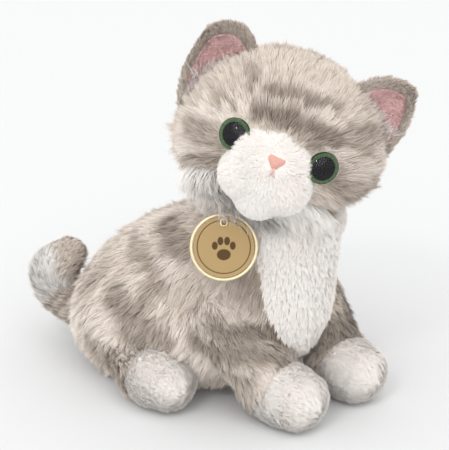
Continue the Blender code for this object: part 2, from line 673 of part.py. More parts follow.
def build_ear(side, sign, nod):
    flip = np.array([sign, 1.0, 1.0])
    inner = np.array(EAR_BASE_INNER[side]) * flip
    outer = np.array(EAR_BASE_OUTER[side]) * flip
    tip = np.array(EAR_TIPS[side]) * flip
    along = unit(outer - inner)
    half = np.linalg.norm(outer - inner) / 2
    base = (inner + outer) / 2
    outwards = unit(base)
    hinge = from_head(unit(base) * head_radius(HEAD_AXES @ unit(base)))
    holder = empty("ear_" + side + "_joint", hinge, nod)
    head = np.concatenate([head_grid(EAR_LIFT).reshape(-1, 3), head_top(EAR_LIFT)[None]])
    swept = [turned(head, hinge, HEAD_AXES @ along, angle) for angle in (-EAR_FLEX, 0.0, EAR_FLEX)]
    room = hull_cutter("ear_" + side + "_room", np.concatenate(swept), holder)
    start = base - outwards * EAR_SINK
    length = tip - start
    for name, slot, wide, thick, forward, tall in (
            ("ear_" + side + "_back", "grey_plush", 1.0, EAR_THICKNESS, 0.0, 1.0),
            ("ear_" + side + "_lining", "pink_plush", 0.74, 0.8, EAR_THICKNESS + 1.3, 0.84)):
        rows = []
        for level in (0.0, 0.2, 0.4, 0.56, 0.7, 0.82, 0.92):
            width = half * wide * (1.0 - level ** EAR_ROUNDNESS[side]) ** 0.7
            depth = thick * (1.0 - 0.3 * level)
            row = []
            for k in range(16):
                angle = 2.0 * math.pi * k / 16
                across = math.cos(angle)
                back = depth * math.sin(angle) - forward - EAR_CUP * wide ** 2 * across ** 2
                local = start + length * level * tall + along * width * across + np.array([0.0, back, 0.0])
                row.append(from_head(local))
            rows.append(row)
        top = from_head(start + length * tall - np.array([0.0, forward, 0.0]))
        made = loft(name, np.array(rows), slot, holder, end=top)
        cut(made, room)


def build_tag(root):
    normal = unit(TAG_NORMAL)
    up = unit(np.array([0.0, 0.0, 1.0]) - normal * normal[2])
    hole = TAG_CENTRE + up * TAG_HOLE_UP
    holder = empty("tag_joint", hole, root)
    inner = TAG_RADIUS - TAG_RIM - 0.3
    disc = ((-0.7, inner - 0.2), (-0.5, inner), (0.5, inner), (0.7, inner - 0.2))
    face = loft("tag_disc", lathe(disc, TAG_CENTRE, normal, 28), "tag_face", holder)
    rim = ((-1.0, TAG_RADIUS - TAG_RIM), (-1.0, TAG_RADIUS - 0.4), (-0.5, TAG_RADIUS), (0.5, TAG_RADIUS),
           (1.0, TAG_RADIUS - 0.4), (1.0, TAG_RADIUS - TAG_RIM))
    loft("tag_rim", lathe(rim, TAG_CENTRE, normal, 28), "tag_rim", holder, looped=True)
    drill = loft("tag_hole", lathe(((-3.0, 2.3), (3.0, 2.3)), hole, normal, 16), None, holder, cutter=True)
    cut(face, drill)
    eyelet = ((-0.9, 1.5), (-0.9, 2.0), (0.9, 2.0), (0.9, 1.5))
    loft("tag_eyelet", lathe(eyelet, hole, normal, 16), "tag_metal", holder, looped=True)
    return hole, normal, up


def build_tag_loop(root, hole, normal, up):
    """A closed cord ring through the eyelet, standing square to the tag and leaning to the neck."""
    rows = []
    lean = math.radians(TAG_LOOP_LEAN)
    centre = hole + TAG_LOOP_RADIUS * (math.cos(lean) * up - math.sin(lean) * normal)
    side = np.cross(normal, up)
    for k in range(16):
        angle = 2.0 * math.pi * k / 16
        middle = centre + TAG_LOOP_RADIUS * (math.cos(angle) * normal + math.sin(angle) * up)
        out = unit(middle - centre)
        rows.append([middle + 0.4 * (math.cos(t) * out + math.sin(t) * side)
                     for t in (2.0 * math.pi * j / 6 for j in range(6))])
    loft("tag_loop", np.array(rows), "tag_cord", root, looped=True)


remove_everything()
root = empty("cat_root", (0.0, 0.0, 0.0))
torso_parts = build_torso(root)
for side in ("right", "left"):
    build_limb(side, "foreleg", FORELEGS[side], root, FORE_LIFT, torso_parts, 5)
    build_limb(side, "hindleg", HIND_LEGS[side], root, HIND_LIFT, torso_parts, 4)
build_tail(root, torso_parts)
turn = empty("head_turn_joint", HEAD_CENTRE, root)
sleeve = lathe(((43.0, 9.0), (51.0, 9.0)), HEAD_CENTRE, (0.0, 0.0, -1.0), 20)
loft("neck_sleeve", sleeve, "grey_plush", turn)
nod = empty("head_nod_joint", HEAD_CENTRE, turn)
build_face(nod, *build_head(nod))
for side, sign in (("right", -1.0), ("left", 1.0)):
    build_ear(side, sign, nod)
hole, normal, up = build_tag(root)
build_tag_loop(root, hole, normal, up)
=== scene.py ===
import math
import bpy
import numpy as np
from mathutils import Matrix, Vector


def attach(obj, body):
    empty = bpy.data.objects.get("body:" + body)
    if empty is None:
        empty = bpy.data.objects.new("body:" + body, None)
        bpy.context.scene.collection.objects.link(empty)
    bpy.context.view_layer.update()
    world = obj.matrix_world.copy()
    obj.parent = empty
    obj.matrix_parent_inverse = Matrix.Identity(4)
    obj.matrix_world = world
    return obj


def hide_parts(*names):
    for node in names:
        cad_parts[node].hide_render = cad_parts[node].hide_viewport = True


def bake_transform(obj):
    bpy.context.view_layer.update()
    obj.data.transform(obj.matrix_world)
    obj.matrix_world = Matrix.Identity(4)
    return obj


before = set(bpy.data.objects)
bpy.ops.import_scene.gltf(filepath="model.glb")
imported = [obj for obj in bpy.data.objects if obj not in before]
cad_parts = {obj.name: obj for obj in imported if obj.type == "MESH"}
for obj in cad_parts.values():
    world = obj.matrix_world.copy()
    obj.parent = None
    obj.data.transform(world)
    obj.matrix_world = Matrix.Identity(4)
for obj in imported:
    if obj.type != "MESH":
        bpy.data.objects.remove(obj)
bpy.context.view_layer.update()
chance = np.random.default_rng(11)

# the kitten sits facing -Y, +X is its left; all shapes below are in millimetres


# length of each vector in the last axis
def sizeOf(v):
    return np.sqrt((v * v).sum(-1, keepdims=True))


# the vectors divided by their lengths
def unit(v):
    v = np.asarray(v, float)
    return v / np.maximum(sizeOf(v), 1e-9)


# 0 below low, 1 above high, and 3t^2 - 2t^3 between
def ramp(low, high, value):
    t = np.clip((value - low) / (high - low), 0, 1)
    return t * t * (3 - 2 * t)


# one colour given as the eye sees it, turned to light amounts: ((c + 0.055) / 1.055) ^ 2.4
def tone(red, green, blue):
    c = np.array([red, green, blue]) / 255
    return ((c + 0.055) / 1.055) ** 2.4


# a smooth line through control rows: each place takes four rows with cubic weights
def throughRows(rows, places, looped=False):
    rows = np.asarray(rows, float)
    places = np.asarray(places, float)
    last = len(rows) - 1
    k = np.floor(places).astype(int)
    if not looped:
        k = np.clip(k, 0, last - 1)
    f = (places - k)[..., None]

    # a control row by its number, going round when looped and held at the ends when not
    def row(i):
        return rows[i % len(rows)] if looped else rows[np.clip(i, 0, last)]

    a, b, c, d = row(k - 1), row(k), row(k + 1), row(k + 2)
    return b + f * (c - a + f * (2 * a - 5 * b + 4 * c - d + f * (3 * b - 3 * c + d - a))) / 2


# smooth random values from 0 to 1: hashed numbers on a lattice of that size, blended from the 8 corners
def cloud(p, size, seed):
    q = p / size
    k = np.floor(q).astype(np.int64)
    f = q - k
    f = f * f * (3 - 2 * f)
    total = np.zeros(p.shape[:-1])
    for corner in ((0, 0, 0), (1, 0, 0), (0, 1, 0), (1, 1, 0), (0, 0, 1), (1, 0, 1), (0, 1, 1), (1, 1, 1)):
        at = k + corner
        h = at[..., 0] * 73856093 ^ at[..., 1] * 19349663 ^ at[..., 2] * 83492791 ^ seed * 7919
        h = (h ^ (h >> 13)) * 1274126177 & 0x7FFFFFFF
        h = (h ^ (h >> 15)) * 668265263 & 0x7FFFFFFF
        weight = np.prod(np.where(np.array(corner) == 1, f, 1 - f), axis=-1)
        total += weight * h / 0x7FFFFFFF
    return total


# making meshes

# a mesh object at the origin from points in millimetres and faces of one corner count each
def makePiece(name, points, faceSets, material, colours=None, normals=None):
    mesh = bpy.data.meshes.new(name)
    corners = np.concatenate([faces.ravel() for faces in faceSets]).astype(np.int32)
    counts = np.concatenate([np.full(len(faces), faces.shape[1], np.int32) for faces in faceSets])
    starts = np.concatenate([[0], np.cumsum(counts)[:-1]]).astype(np.int32)
    mesh.vertices.add(len(points))
    mesh.loops.add(len(corners))
    mesh.polygons.add(len(counts))
    mesh.vertices.foreach_set("co", (points * 0.001).astype(np.float32).ravel())
    mesh.loops.foreach_set("vertex_index", corners)
    mesh.polygons.foreach_set("loop_start", starts)
    mesh.polygons.foreach_set("loop_total", counts)
    mesh.update(calc_edges=True)
    mesh.polygons.foreach_set("use_smooth", np.ones(len(counts), bool))
    if colours is not None:
        layer = mesh.color_attributes.new("furColor", "FLOAT_COLOR", "POINT")
        whole = np.ones((len(points), 4), np.float32)
        whole[:, :3] = colours
        layer.data.foreach_set("color", whole.ravel())
    if normals is not None:
        mesh.normals_split_custom_set_from_vertices(normals.astype(np.float32))
    mesh.materials.append(material)
    made = bpy.data.objects.new(name, mesh)
    bpy.context.scene.collection.objects.link(made)
    return made


# corner numbers of the four-sided faces of a rows x columns grid, joined round its columns if looped
def gridFaces(rows, columns, looped=True, first=0):
    index = first + np.arange(rows * columns).reshape(rows, columns)
    if looped:
        index = np.concatenate([index, index[:, :1]], axis=1)
    return np.stack([index[:-1, :-1], index[:-1, 1:], index[1:, 1:], index[1:, :-1]], -1).reshape(-1, 4)


# three-sided faces that close one ring of numbers onto a pole
def fanFaces(ring, pole):
    return np.stack([ring, np.roll(ring, -1), np.full(len(ring), pole)], -1)


# a closed skin over stacked rings, with a pole at each end or rings that join last to first;
# its faces are turned outwards
def closedSkin(grid, startPole=None, endPole=None, wrapped=False):
    rows, columns = grid.shape[:2]
    points = grid.reshape(-1, 3)
    quads = gridFaces(rows, columns)
    faceSets = [quads]
    if wrapped:
        last = np.arange(columns) + (rows - 1) * columns
        first = np.arange(columns)
        faceSets = [np.concatenate([quads,
                                    np.stack([last, np.roll(last, -1), np.roll(first, -1), first], -1)])]
    else:
        startPole = grid[0].mean(0) if startPole is None else startPole
        endPole = grid[-1].mean(0) if endPole is None else endPole
        points = np.concatenate([points, [startPole, endPole]])
        total = rows * columns
        fans = [fanFaces(np.arange(columns)[::-1], total),
                fanFaces(np.arange(columns) + total - columns, total + 1)]
        faceSets.append(np.concatenate(fans))
    volume = sum((points[f[:, 0]] * np.cross(points[f[:, 1]], points[f[:, 2]])).sum()
                 for f in trianglesOf(faceSets))
    if volume < 0:
        faceSets = [faces[:, ::-1] for faces in faceSets]
    return points, faceSets


# faces cut to triangles from their first corner
def trianglesOf(faceSets):
    found = []
    for faces in faceSets:
        for k in range(1, faces.shape[1] - 1):
            found.append(faces[:, [0, k, k + 1]])
    return found


# each point's normal: the sum of its triangles' normals
def pointNormals(points, faceSets):
    total = np.zeros_like(points)
    for tri in trianglesOf(faceSets):
        n = np.cross(points[tri[:, 1]] - points[tri[:, 0]], points[tri[:, 2]] - points[tri[:, 0]])
        for corner in range(3):
            for axis in range(3):
                total[:, axis] += np.bincount(tri[:, corner], n[:, axis], len(points))
    return unit(total)


# materials

# a node material with values set on the shader's own sockets
def freshMaterial(name, settings):
    made = bpy.data.materials.new(name)
    made.use_nodes = True
    shader = made.node_tree.nodes["Principled BSDF"]
    for socket, value in settings.items():
        shader.inputs[socket].default_value = value
    return made, made.node_tree, shader


# plush: the colour painted on each hair or patch of cloth, with a soft sheen; a share of the light comes
# through a hair from behind
def plushMaterial(name, roughness, sheen, through=0.0):
    made, tree, shader = freshMaterial(name, {"Roughness": roughness, "Sheen Weight": sheen,
                                              "Sheen Roughness": 0.5, "Specular IOR Level": 0.2})
    painted = tree.nodes.new("ShaderNodeAttribute")
    painted.attribute_name = "furColor"
    tree.links.new(painted.outputs["Color"], shader.inputs["Base Color"])
    if through:
        behind = tree.nodes.new("ShaderNodeBsdfTranslucent")
        both = tree.nodes.new("ShaderNodeMixShader")
        both.inputs["Fac"].default_value = through
        tree.links.new(painted.outputs["Color"], behind.inputs["Color"])
        tree.links.new(shader.outputs["BSDF"], both.inputs[1])
        tree.links.new(behind.outputs["BSDF"], both.inputs[2])
        tree.links.new(both.outputs["Shader"], tree.nodes["Material Output"].inputs["Surface"])
    return made


# a base colour that wanders between two tones with noise in object space, and a fine bump
def mottledMaterial(name, low, high, scale, bump, settings):
    made, tree, shader = freshMaterial(name, settings)
    place = tree.nodes.new("ShaderNodeTexCoord")
    noise = tree.nodes.new("ShaderNodeTexNoise")
    noise.inputs["Scale"].default_value = scale
    noise.inputs["Detail"].default_value = 4
    colours = tree.nodes.new("ShaderNodeValToRGB")
    colours.color_ramp.elements[0].position = 0.3
    colours.color_ramp.elements[1].position = 0.7
    colours.color_ramp.elements[0].color = (*low, 1)
    colours.color_ramp.elements[1].color = (*high, 1)
    raised = tree.nodes.new("ShaderNodeBump")
    raised.inputs["Strength"].default_value = bump
    raised.inputs["Distance"].default_value = 0.0002
    tree.links.new(place.outputs["Object"], noise.inputs["Vector"])
    tree.links.new(noise.outputs["Fac"], colours.inputs["Fac"])
    tree.links.new(colours.outputs["Color"], shader.inputs["Base Color"])
    tree.links.new(noise.outputs["Fac"], raised.inputs["Height"])
    tree.links.new(raised.outputs["Normal"], shader.inputs["Normal"])
    return made


furMaterial = plushMaterial("longPlush", 0.8, 0.25, 0.2)
pileMaterial = plushMaterial("shortPile", 0.9, 0.3, 0.2)
clothMaterial = plushMaterial("backingCloth", 0.95, 0.0)


torso = {
    # height, front y, back y, half width, how much wider the back is, sideways shift
    "slices": [(0.4, -36, 38, 39, 0, 0), (5, -48, 48, 48, 0.05, 0), (14, -66, 55.5, 53.5, 0.14, 0),
               (27, -84, 57.5, 57.5, 0.22, 0), (41, -92, 54.5, 58, 0.26, 0), (55, -96, 46, 55, 0.24, 0),
               (68, -97, 35, 50.5, 0.18, 0), (80, -98, 19, 45.5, 0.12, 0), (91, -99, -2, 40.5, 0.06, 0),
               (102, -101, -30, 36.5, 0.02, 0), (112.5, -99.5, -40.5, 29.5, 0, -1.5),
               (108.8, -88, -54, 17, 0, -2), (106.8, -82.5, -59.5, 11.5, 0, -2),
               (98.5, -81.2, -60.8, 10.2, 0, -2)],
    "rows": 100, "columns": 112,
    "hair": 9.5, "density": 2.84, "width": 0.42, "lean": 0.66, "swirl": 0.6, "stray": 0.09, "frost": 0.22,
}
headCentre = np.array([-2.0, -71.0, 149.0])
neckBall, neckGap = 43.0, 0.7  # the ball under the jaw, and the gap between it and the torso


# torso skin: at each height an egg-shaped ring, x = half sin a (1 + wider forward),
# y = middle + reach forward, forward = -cos a; pushed out of the ball that the head rests on
def torsoPoint(row, angle):
    z, front, back, half, wider, shift = np.moveaxis(throughRows(torso["slices"], row), -1, 0)
    forward = -np.cos(angle)
    x = shift + half * np.sin(angle) * (1 + wider * forward)
    y = (front + back) / 2 + (back - front) / 2 * forward
    p = np.stack([x, y, z], -1)
    away = p - headCentre
    gap = sizeOf(away)
    seat = neckBall + neckGap
    return np.where(gap < seat, headCentre + away / gap * seat, p)


# outward unit normal of a surface function by small steps in its two parameters
def surfaceNormal(shape, u, v, du, dv):
    alongU = shape(u + du, v) - shape(u - du, v)
    alongV = shape(u, v + dv) - shape(u, v - dv)
    return unit(np.cross(alongV, alongU))


# the head is turned to the cat's right, pitched up and rolled towards its left shoulder
headTurn, headPitch, headRoll = math.radians(-55), math.radians(8), math.radians(20)
side = np.array([math.cos(headTurn), math.sin(headTurn), 0])
away = np.array([-math.sin(headTurn), math.cos(headTurn), 0])
faceWay = -math.cos(headPitch) * away + math.sin(headPitch) * np.array([0, 0, 1])
above = np.cross(side, -faceWay)
headLeft = math.cos(headRoll) * side - math.sin(headRoll) * above
headUp = math.cos(headRoll) * above + math.sin(headRoll) * side
headAxes = np.stack([headLeft, -faceWay, headUp], 1)  # columns: left, back, up

head = {
    "radii": np.array([53.0, 46.0, 43.0]), "rows": 90, "columns": 120,
    "hair": 9.0, "density": 3.3, "width": 0.38, "lean": 0.62, "swirl": 0.5, "stray": 0.09, "frost": 0.22,
    "eyes": {"left": np.array([25.5, -43.0, 1.5]), "right": np.array([-22.8, -44.1, 1.6])},
}
muzzle = {
    "centre": np.array([0.0, -36.0, -12.0]), "rows": 70, "columns": 110, "hair": 2.8, "density": 8.5,
    # balls that make the shape: place (left, back, up) and radius
    "balls": [((0, 0, 0), 20.6), ((-9.6, -6.5, -2.5), 13.2), ((9.6, -6.5, -2.5), 13.2),
              ((0, -6.5, -10.5), 11.6), ((0, -4.5, 10.0), 13.0), ((-8.0, -3.0, 8.5), 12.6),
              ((8.0, -3.0, 8.5), 12.0)],
    "blend": 1.6,
}


ear = {
    "inner": {"left": np.array([30.5, 3, 37]), "right": np.array([31.0, -1, 34])},
    "outer": {"left": np.array([55.0, 3, 1]), "right": np.array([57.5, -9, -7])},
    "tips": {"left": np.array([55.5, -2, 47]), "right": np.array([53.0, -12, 42])},
    "round": {"left": 2.2, "right": 3.0}, "sink": 8.0, "thick": 2.6, "cup": 4.5, "tuftRise": 17,
    "rows": 44, "columns": 60,
}


# head terms to the row frame: centre plus left, back and up shares of the head's axes
def fromHead(p):
    return headCentre + np.asarray(p, float) @ headAxes.T


# row frame to head terms: the offset from the centre along each of the head's axes
def toHead(p):
    return (p - headCentre) @ headAxes


# distance to the head's skin: an egg, blended to the neck's ball under the jaw where it rests on the neck
def headReach(direction):
    local = direction @ headAxes
    egg = 1 / np.sqrt(((local / head["radii"]) ** 2).sum(-1))
    below = np.degrees(np.arccos(np.clip(-direction[..., 2], -1, 1)))
    share = ramp(50, 70, below)
    return neckBall * (1 - share) + egg * share


# head skin: reach times the direction at a polar angle from straight down and an angle round
def headPoint(polar, around):
    direction = np.stack([np.sin(polar) * np.cos(around), np.sin(polar) * np.sin(around), -np.cos(polar)], -1)
    return headCentre + direction * headReach(direction)[..., None]


# the point laid on the head's skin along its own direction, lifted by lift
def onHead(p, lift=0.0):
    direction = unit(p - headCentre)
    return headCentre + direction * (headReach(direction)[..., None] + lift)


# true where a point lies outside the head's skin, or within slack of it
def outsideHead(p, slack):
    return sizeOf(p - headCentre)[:, 0] > headReach(unit(p - headCentre)) - slack


# distance to the muzzle's skin from its centre: the farthest of its balls along a direction, softly joined
def muzzleReach(direction):
    total = 0
    for offset, radius in muzzle["balls"]:
        offset = np.array(offset, float)
        along = direction @ offset
        reach = along + np.sqrt(np.maximum(along ** 2 - offset @ offset + radius ** 2, 0.5))
        total = total + np.exp(muzzle["blend"] * reach)
    return np.log(total) / muzzle["blend"]


# point on the muzzle in row-frame millimetres for a direction in head terms
def muzzlePoint(direction, lift=0.0):
    direction = unit(direction)
    return fromHead(muzzle["centre"] + direction * (muzzleReach(direction)[..., None] + lift))


# where an eye sits, 0.6 out of the skin, and the egg's outward normal there
def eyeSeat(local):
    facing = headAxes @ unit(local / head["radii"] ** 2)
    return onHead(fromHead(local)) + facing * 0.6, facing


eyeSeats = {name: eyeSeat(local) for name, local in head["eyes"].items()}
muzzleMiddle = fromHead(muzzle["centre"])


coat = {
    "pale": tone(237, 228, 219), "light": tone(219, 208, 197), "mid": tone(188, 175, 162),
    "dark": tone(122, 108, 96), "white": tone(250, 247, 244), "cream": tone(247, 242, 238), "depth": 0.8,
    # brushed dark lines: radius, strength, points
    "lines": [
        (3.4, 0.9, [(-29, -87, 181), (-25, -93, 181), (-19, -101, 177), (-8, -110, 173)]),
        (4.4, 1.0, [(-38, -85, 174), (-35, -92, 173), (-29, -101, 170), (-22, -109, 166), (-14, -115, 159)]),
        (5.0, 0.8, [(-28, -104, 166), (-25, -110, 158)]),
        (3.6, 0.75, [(-3, -60, 193), (2, -69, 192), (9, -79, 190), (16, -85, 185), (20, -91, 181)]),
        (3.5, 0.75, [(-23, -71, 190), (-30, -75, 185), (-35, -76, 182)]),
        (3.2, 0.6, [(-41, -62, 177), (-42, -70, 175)]),
        (5.5, 0.6, [(-47, -53, 161), (-49, -63, 160), (-49, -69, 156)]),
        (4.0, 0.5, [(-31, -29, 161), (-40, -39, 165)]),
        (4.0, 0.8, [(-46, -50, 144), (-49, -64, 149), (-49, -71, 152)]),
        (4.0, 0.7, [(-36, -43, 133), (-47, -61, 141), (-48, -71, 145)]),
        (4.0, 0.6, [(-33, -38, 138), (-35, -44, 131)]),
        (4.0, 0.85, [(-6, -116, 162), (4, -118, 159), (17, -118, 152)]),
        (4.0, 0.7, [(-9, -117, 158), (-1, -120, 154), (4, -121, 151)]),
        (6.5, 0.75, [(-16, -116, 139), (2, -116, 128)]),
        (8.0, 0.95, [(-12, -103, 122), (2, -103, 120), (10, -112, 130)]),
        (7.0, 0.8, [(-1, -91, 111), (8, -96, 116)]),
        (5.0, 0.4, [(15, -107, 173), (11, -112, 167)]),
        (8.0, 0.75, [(-26, -16, 95), (-38, -29, 94), (-42, -39, 91)]),
        (6.0, 0.55, [(-32, 5, 84), (-45, -10, 81)]),
        (6.0, 0.65, [(-44, -14, 83), (-50, -23, 76), (-52, -31, 70)]),
        (6.0, 0.75, [(-53, -25, 69), (-56, -22, 53), (-55, -27, 42), (-51, -37, 39)]),
        (8.5, 0.8, [(-57, -3, 57), (-57, -10, 54), (-57, -18, 52)]),
        (6.5, 0.8, [(-57, -15, 40), (-55, -25, 38)]),
        (8.0, 0.65, [(-54, 12, 30), (-54, 0, 18)]),
        (7.0, 0.45, [(-48, 15, 64), (-49, 24, 54)]),
        (8.5, 0.75, [(-34, -74, 81), (-30, -82, 68)]),
        (6.5, 1.0, [(-46, -66, 54), (-43, -73, 52), (-31, -81, 50), (-19, -90, 42), (-12, -94, 36)]),
        (6.5, 0.9, [(-45, -54, 44), (-46, -75, 44), (-36, -88, 40), (-22, -99, 34)]),
        (5.0, 0.55, [(-47, -64, 35), (-46, -75, 29), (-40, -86, 29)]),
    ],
    # the same for the cat's other side, and along its back and nape
    "farLines": [
        (9.0, 0.95, [(39, -85, 44), (36, -93, 36), (21, -99, 38), (10, -94, 34)]),
        (8.0, 0.75, [(36, -16, 95), (42, -29, 94), (44, -42, 88)]),
        (6.0, 0.55, [(32, 5, 84), (45, -10, 81), (52, -28, 72)]),
        (6.0, 0.75, [(55, -22, 62), (56, -24, 48), (51, -37, 39)]),
        (8.0, 0.75, [(55, 2, 58), (57, -12, 53)]),
        (7.0, 0.75, [(57, -12, 38), (54, 4, 26)]),
        (7.0, 0.5, [(46, 18, 64), (48, 26, 50)]),
        (7.0, 0.85, [(45, -62, 50), (42, -76, 48), (34, -88, 42)]),
        (6.0, 0.6, [(0, -32, 108), (0, -18, 98), (0, 4, 90), (0, 24, 80), (0, 40, 66), (-4, 50, 50)]),
        (6.0, 0.6, [(-2, 38, 70), (22, 36, 64), (36, 30, 52)]),
        (6.0, 0.6, [(-2, 38, 70), (-24, 36, 62), (-38, 30, 50)]),
        (6.0, 0.6, [(0, 52, 36), (24, 46, 30), (40, 34, 24)]),
        (6.0, 0.5, [(0, 14, 86), (20, 10, 84), (34, 0, 82)]),
    ],
    # on the head, in its own terms (left, back, up)
    "napeLines": [
        (4.5, 0.7, [(0, 8, 44), (0, 26, 38), (0, 42, 18), (0, 46, -4)]),
        (4.0, 0.65, [(15, 6, 42), (17, 24, 35), (18, 38, 16), (18, 41, -4)]),
        (4.0, 0.65, [(-15, 6, 42), (-17, 24, 35), (-18, 38, 16), (-18, 41, -4)]),
        (5.0, 0.6, [(50, 8, -8), (40, 28, -10), (30, 36, -12)]),
        (5.0, 0.6, [(-50, 8, -8), (-40, 28, -10), (-30, 36, -12)]),
        (5.0, 0.5, [(48, 10, -22), (36, 28, -24)]),
        (5.0, 0.5, [(-48, 10, -22), (-36, 28, -24)]),
    ],
}


# darkness from 0 to 1: full strength on each brushed line, fading to none past its radius,
# at places stirred by noise
def brushed(p, lines):
    stir = np.stack([cloud(p, 7.0, seed) for seed in (31, 32, 33)], -1) - 0.5
    q = p + stir * 7.0
    dark = np.zeros(len(p))
    for radius, strength, points in lines:
        points = np.array(points, float)
        for a, b in zip(points[:-1], points[1:]):
            t = np.clip((q - a) @ (b - a) / ((b - a) @ (b - a)), 0, 1)
            gap = sizeOf(q - a - t[:, None] * (b - a))[:, 0] / radius
            dark = np.maximum(dark, strength * (1 - ramp(0.4, 1.5, gap)))
    return dark * coat["depth"]


# pale to mid ground from two sizes of noise, then towards the dark tone by the darkness
def coatColour(p, dark, deeper=0.0):
    ground = 0.65 * cloud(p, 16.0, 3) + 0.35 * cloud(p, 6.0, 4) + deeper
    ground = ramp(0.32, 0.75, ground)[:, None]
    colour = coat["pale"] * (1 - ground) + coat["light"] * ground
    half = np.clip(dark * 2, 0, 1)[:, None]
    full = np.clip(dark * 2 - 1, 0, 1)[:, None]
    colour = colour * (1 - half) + coat["mid"] * half
    return colour * (1 - full) + coat["dark"] * full


# coat of the body and legs: the brushed lines of both sides
def greyCoat(p):
    return coatColour(p, brushed(p, coat["lines"] + coat["farLines"]))


# coat of the head: the brushed lines and those of the nape, deeper towards the crown
def headCoat(p):
    dark = np.maximum(brushed(p, coat["lines"]), brushed(toHead(p), coat["napeLines"]))
    return coatColour(p, dark, 0.3 * ramp(4, 22, toHead(p)[:, 2]))


# white to cream by noise
def whiteCoat(p):
    share = cloud(p, 14.0, 5)[:, None]
    return coat["white"] * (1 - share) + coat["cream"] * share


# hairs rooted at random on a skin: each is a bent strip that narrows to a tip, leaning along the comb
# direction and drawn towards the middle of its tuft; colour is darkened at the root as painted shade deep in
# the pile, and frosted at the tip
def growFur(name, skin, look, combAt, colourAt, lengthAt=None, keep=None):
    points, faceSets = skin
    normals = pointNormals(points, faceSets)
    tri = np.concatenate(trianglesOf(faceSets))
    a, b, c = (points[tri[:, k]] for k in range(3))
    area = sizeOf(np.cross(b - a, c - a))[:, 0] / 2
    if keep is not None:
        area = area * keep((a + b + c) / 3)
    thin = 1.0
    count = int(area.sum() * look["density"] * thin)
    total = np.cumsum(area)
    pick = np.searchsorted(total, chance.random(count) * total[-1])
    pick = np.minimum(pick, len(area) - 1)
    u, v = chance.random((2, count, 1))
    over = (u + v) > 1
    u, v = np.where(over, 1 - u, u), np.where(over, 1 - v, v)
    root = a[pick] + u * (b - a)[pick] + v * (c - a)[pick]
    na, nb, nc = (normals[tri[:, k]][pick] for k in range(3))
    normal = unit(na * (1 - u - v) + nb * u + nc * v)
    length = np.full(count, look["hair"]) if lengthAt is None else lengthAt(root)
    long = length > 0.35
    root, normal, length = root[long], normal[long], length[long]
    count = len(root)
    length = (length * (0.78 + 0.34 * chance.random(count)))[:, None]
    comb = combAt(root, normal)
    comb = unit(comb - normal * (comb * normal).sum(-1, keepdims=True))
    swirl = np.stack([cloud(root, 12.0, seed) for seed in (51, 52, 53)], -1) - 0.5
    comb = unit(comb + swirl * look.get("swirl", 0.5))
    comb = unit(comb - normal * (comb * normal).sum(-1, keepdims=True))
    tuft = look.get("tuft", 3.2)
    cell = np.floor((root + swirl * 5) / tuft).astype(np.int64)
    key = cell[:, 0] * 1000003 + cell[:, 1] * 1009 + cell[:, 2]
    ids = np.unique(key, return_inverse=True)[1].reshape(-1)
    tilt = chance.normal(0, 1, (ids.max() + 1, 3))[ids]
    lean = look["lean"]
    stray = look.get("stray", 0.11)
    first = unit(normal * (1 - lean) + comb * lean + tilt * 0.08 + chance.normal(0, stray, (count, 3)))
    mid = root + first * length * 0.5
    second = unit(first * 0.55 + comb * (lean * 0.75) + tilt * 0.10
                  + chance.normal(0, stray * 1.2, (count, 3)))
    tip = mid + second * length * 0.5
    number = np.bincount(ids)[:, None]
    pull = look.get("pull", 0.35) * (0.5 + chance.random((count, 1)))
    for spot, share in ((mid, 0.35), (tip, 1.0)):
        middle = np.stack([np.bincount(ids, spot[:, k]) for k in range(3)], -1) / number
        spot += (middle[ids] - spot) * np.minimum(pull * share, 0.9)
    across = unit(np.cross(first, normal))
    turn = chance.uniform(-0.4, 0.4, (count, 1))
    across = across * np.cos(turn) + np.cross(first, across) * np.sin(turn)
    width = look["width"] * (0.75 + 0.5 * chance.random((count, 1))) / 2 * 1.0
    low = root - normal * 0.4
    verts = np.stack([low - across * width, low + across * width,
                      mid - across * width * 0.8, mid + across * width * 0.8, tip], 1)
    shown = unit(normal * 0.3 + unit(np.cross(across, first)) * 0.6)
    colour = colourAt(root + comb * length * 0.35)
    bright = 1 + chance.normal(0, look.get("vary", 0.09), (count, 1))
    streak = cloud(root, 1.8, 71)[:, None] * look.get("streak", 0.16) - look.get("streak", 0.16) / 2
    colour = np.clip(colour * (bright + streak), 0.01, 0.95)
    frost = look.get("frost", 0.30)
    # painted shade: the two root corners of each hair are darkened by this factor
    shade = look.get("shade", 0.78)
    tipColour = colour * (1 - frost) + coat["white"] * frost
    colours = np.stack([colour * shade, colour * shade, colour, colour, tipColour], 1)
    k = np.arange(count)[:, None] * 5
    faces = np.concatenate([k + [0, 1, 3], k + [0, 3, 2], k + [2, 3, 4]])
    made = makePiece(name, verts.reshape(-1, 3), [faces], look.get("material", furMaterial),
                     colours.reshape(-1, 3), np.repeat(shown, 5, axis=0))
    print("  ", name, count, "hairs")
    return made


# a padded skin piece with its colour painted on, in place of the pieces it hides
def skinPiece(name, skin, colourAt, replaced):
    points, faceSets = skin
    # painted shade: under grey fur the cloth is darkened to 0.86 for the shade between the hairs; under white
    # fur it keeps its colour
    gapShade = 1.0 if colourAt is whiteCoat else 0.86
    made = makePiece(name, points, faceSets, clothMaterial, colourAt(points) * gapShade)
    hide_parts(*replaced)
    return made


# several pieces that move with one body
def rideWith(body, *objs):
    for obj in objs:
        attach(obj, body)


print("torso")
rowPlaces = np.linspace(0, len(torso["slices"]) - 1, torso["rows"])
angles = np.linspace(0, 2 * math.pi, torso["columns"], endpoint=False)
torsoGrid = torsoPoint(rowPlaces[:, None] + 0 * angles, 0 * rowPlaces[:, None] + angles)
seatRing = torsoGrid[0] * (0.93, 0.93, 1) + (0, 0, 2.3)
torsoGrid = np.concatenate([seatRing[None], torsoGrid])
torsoSkinData = closedSkin(torsoGrid, np.array([0, 0, 2.75]), np.array([-2, -71, 97.0]))

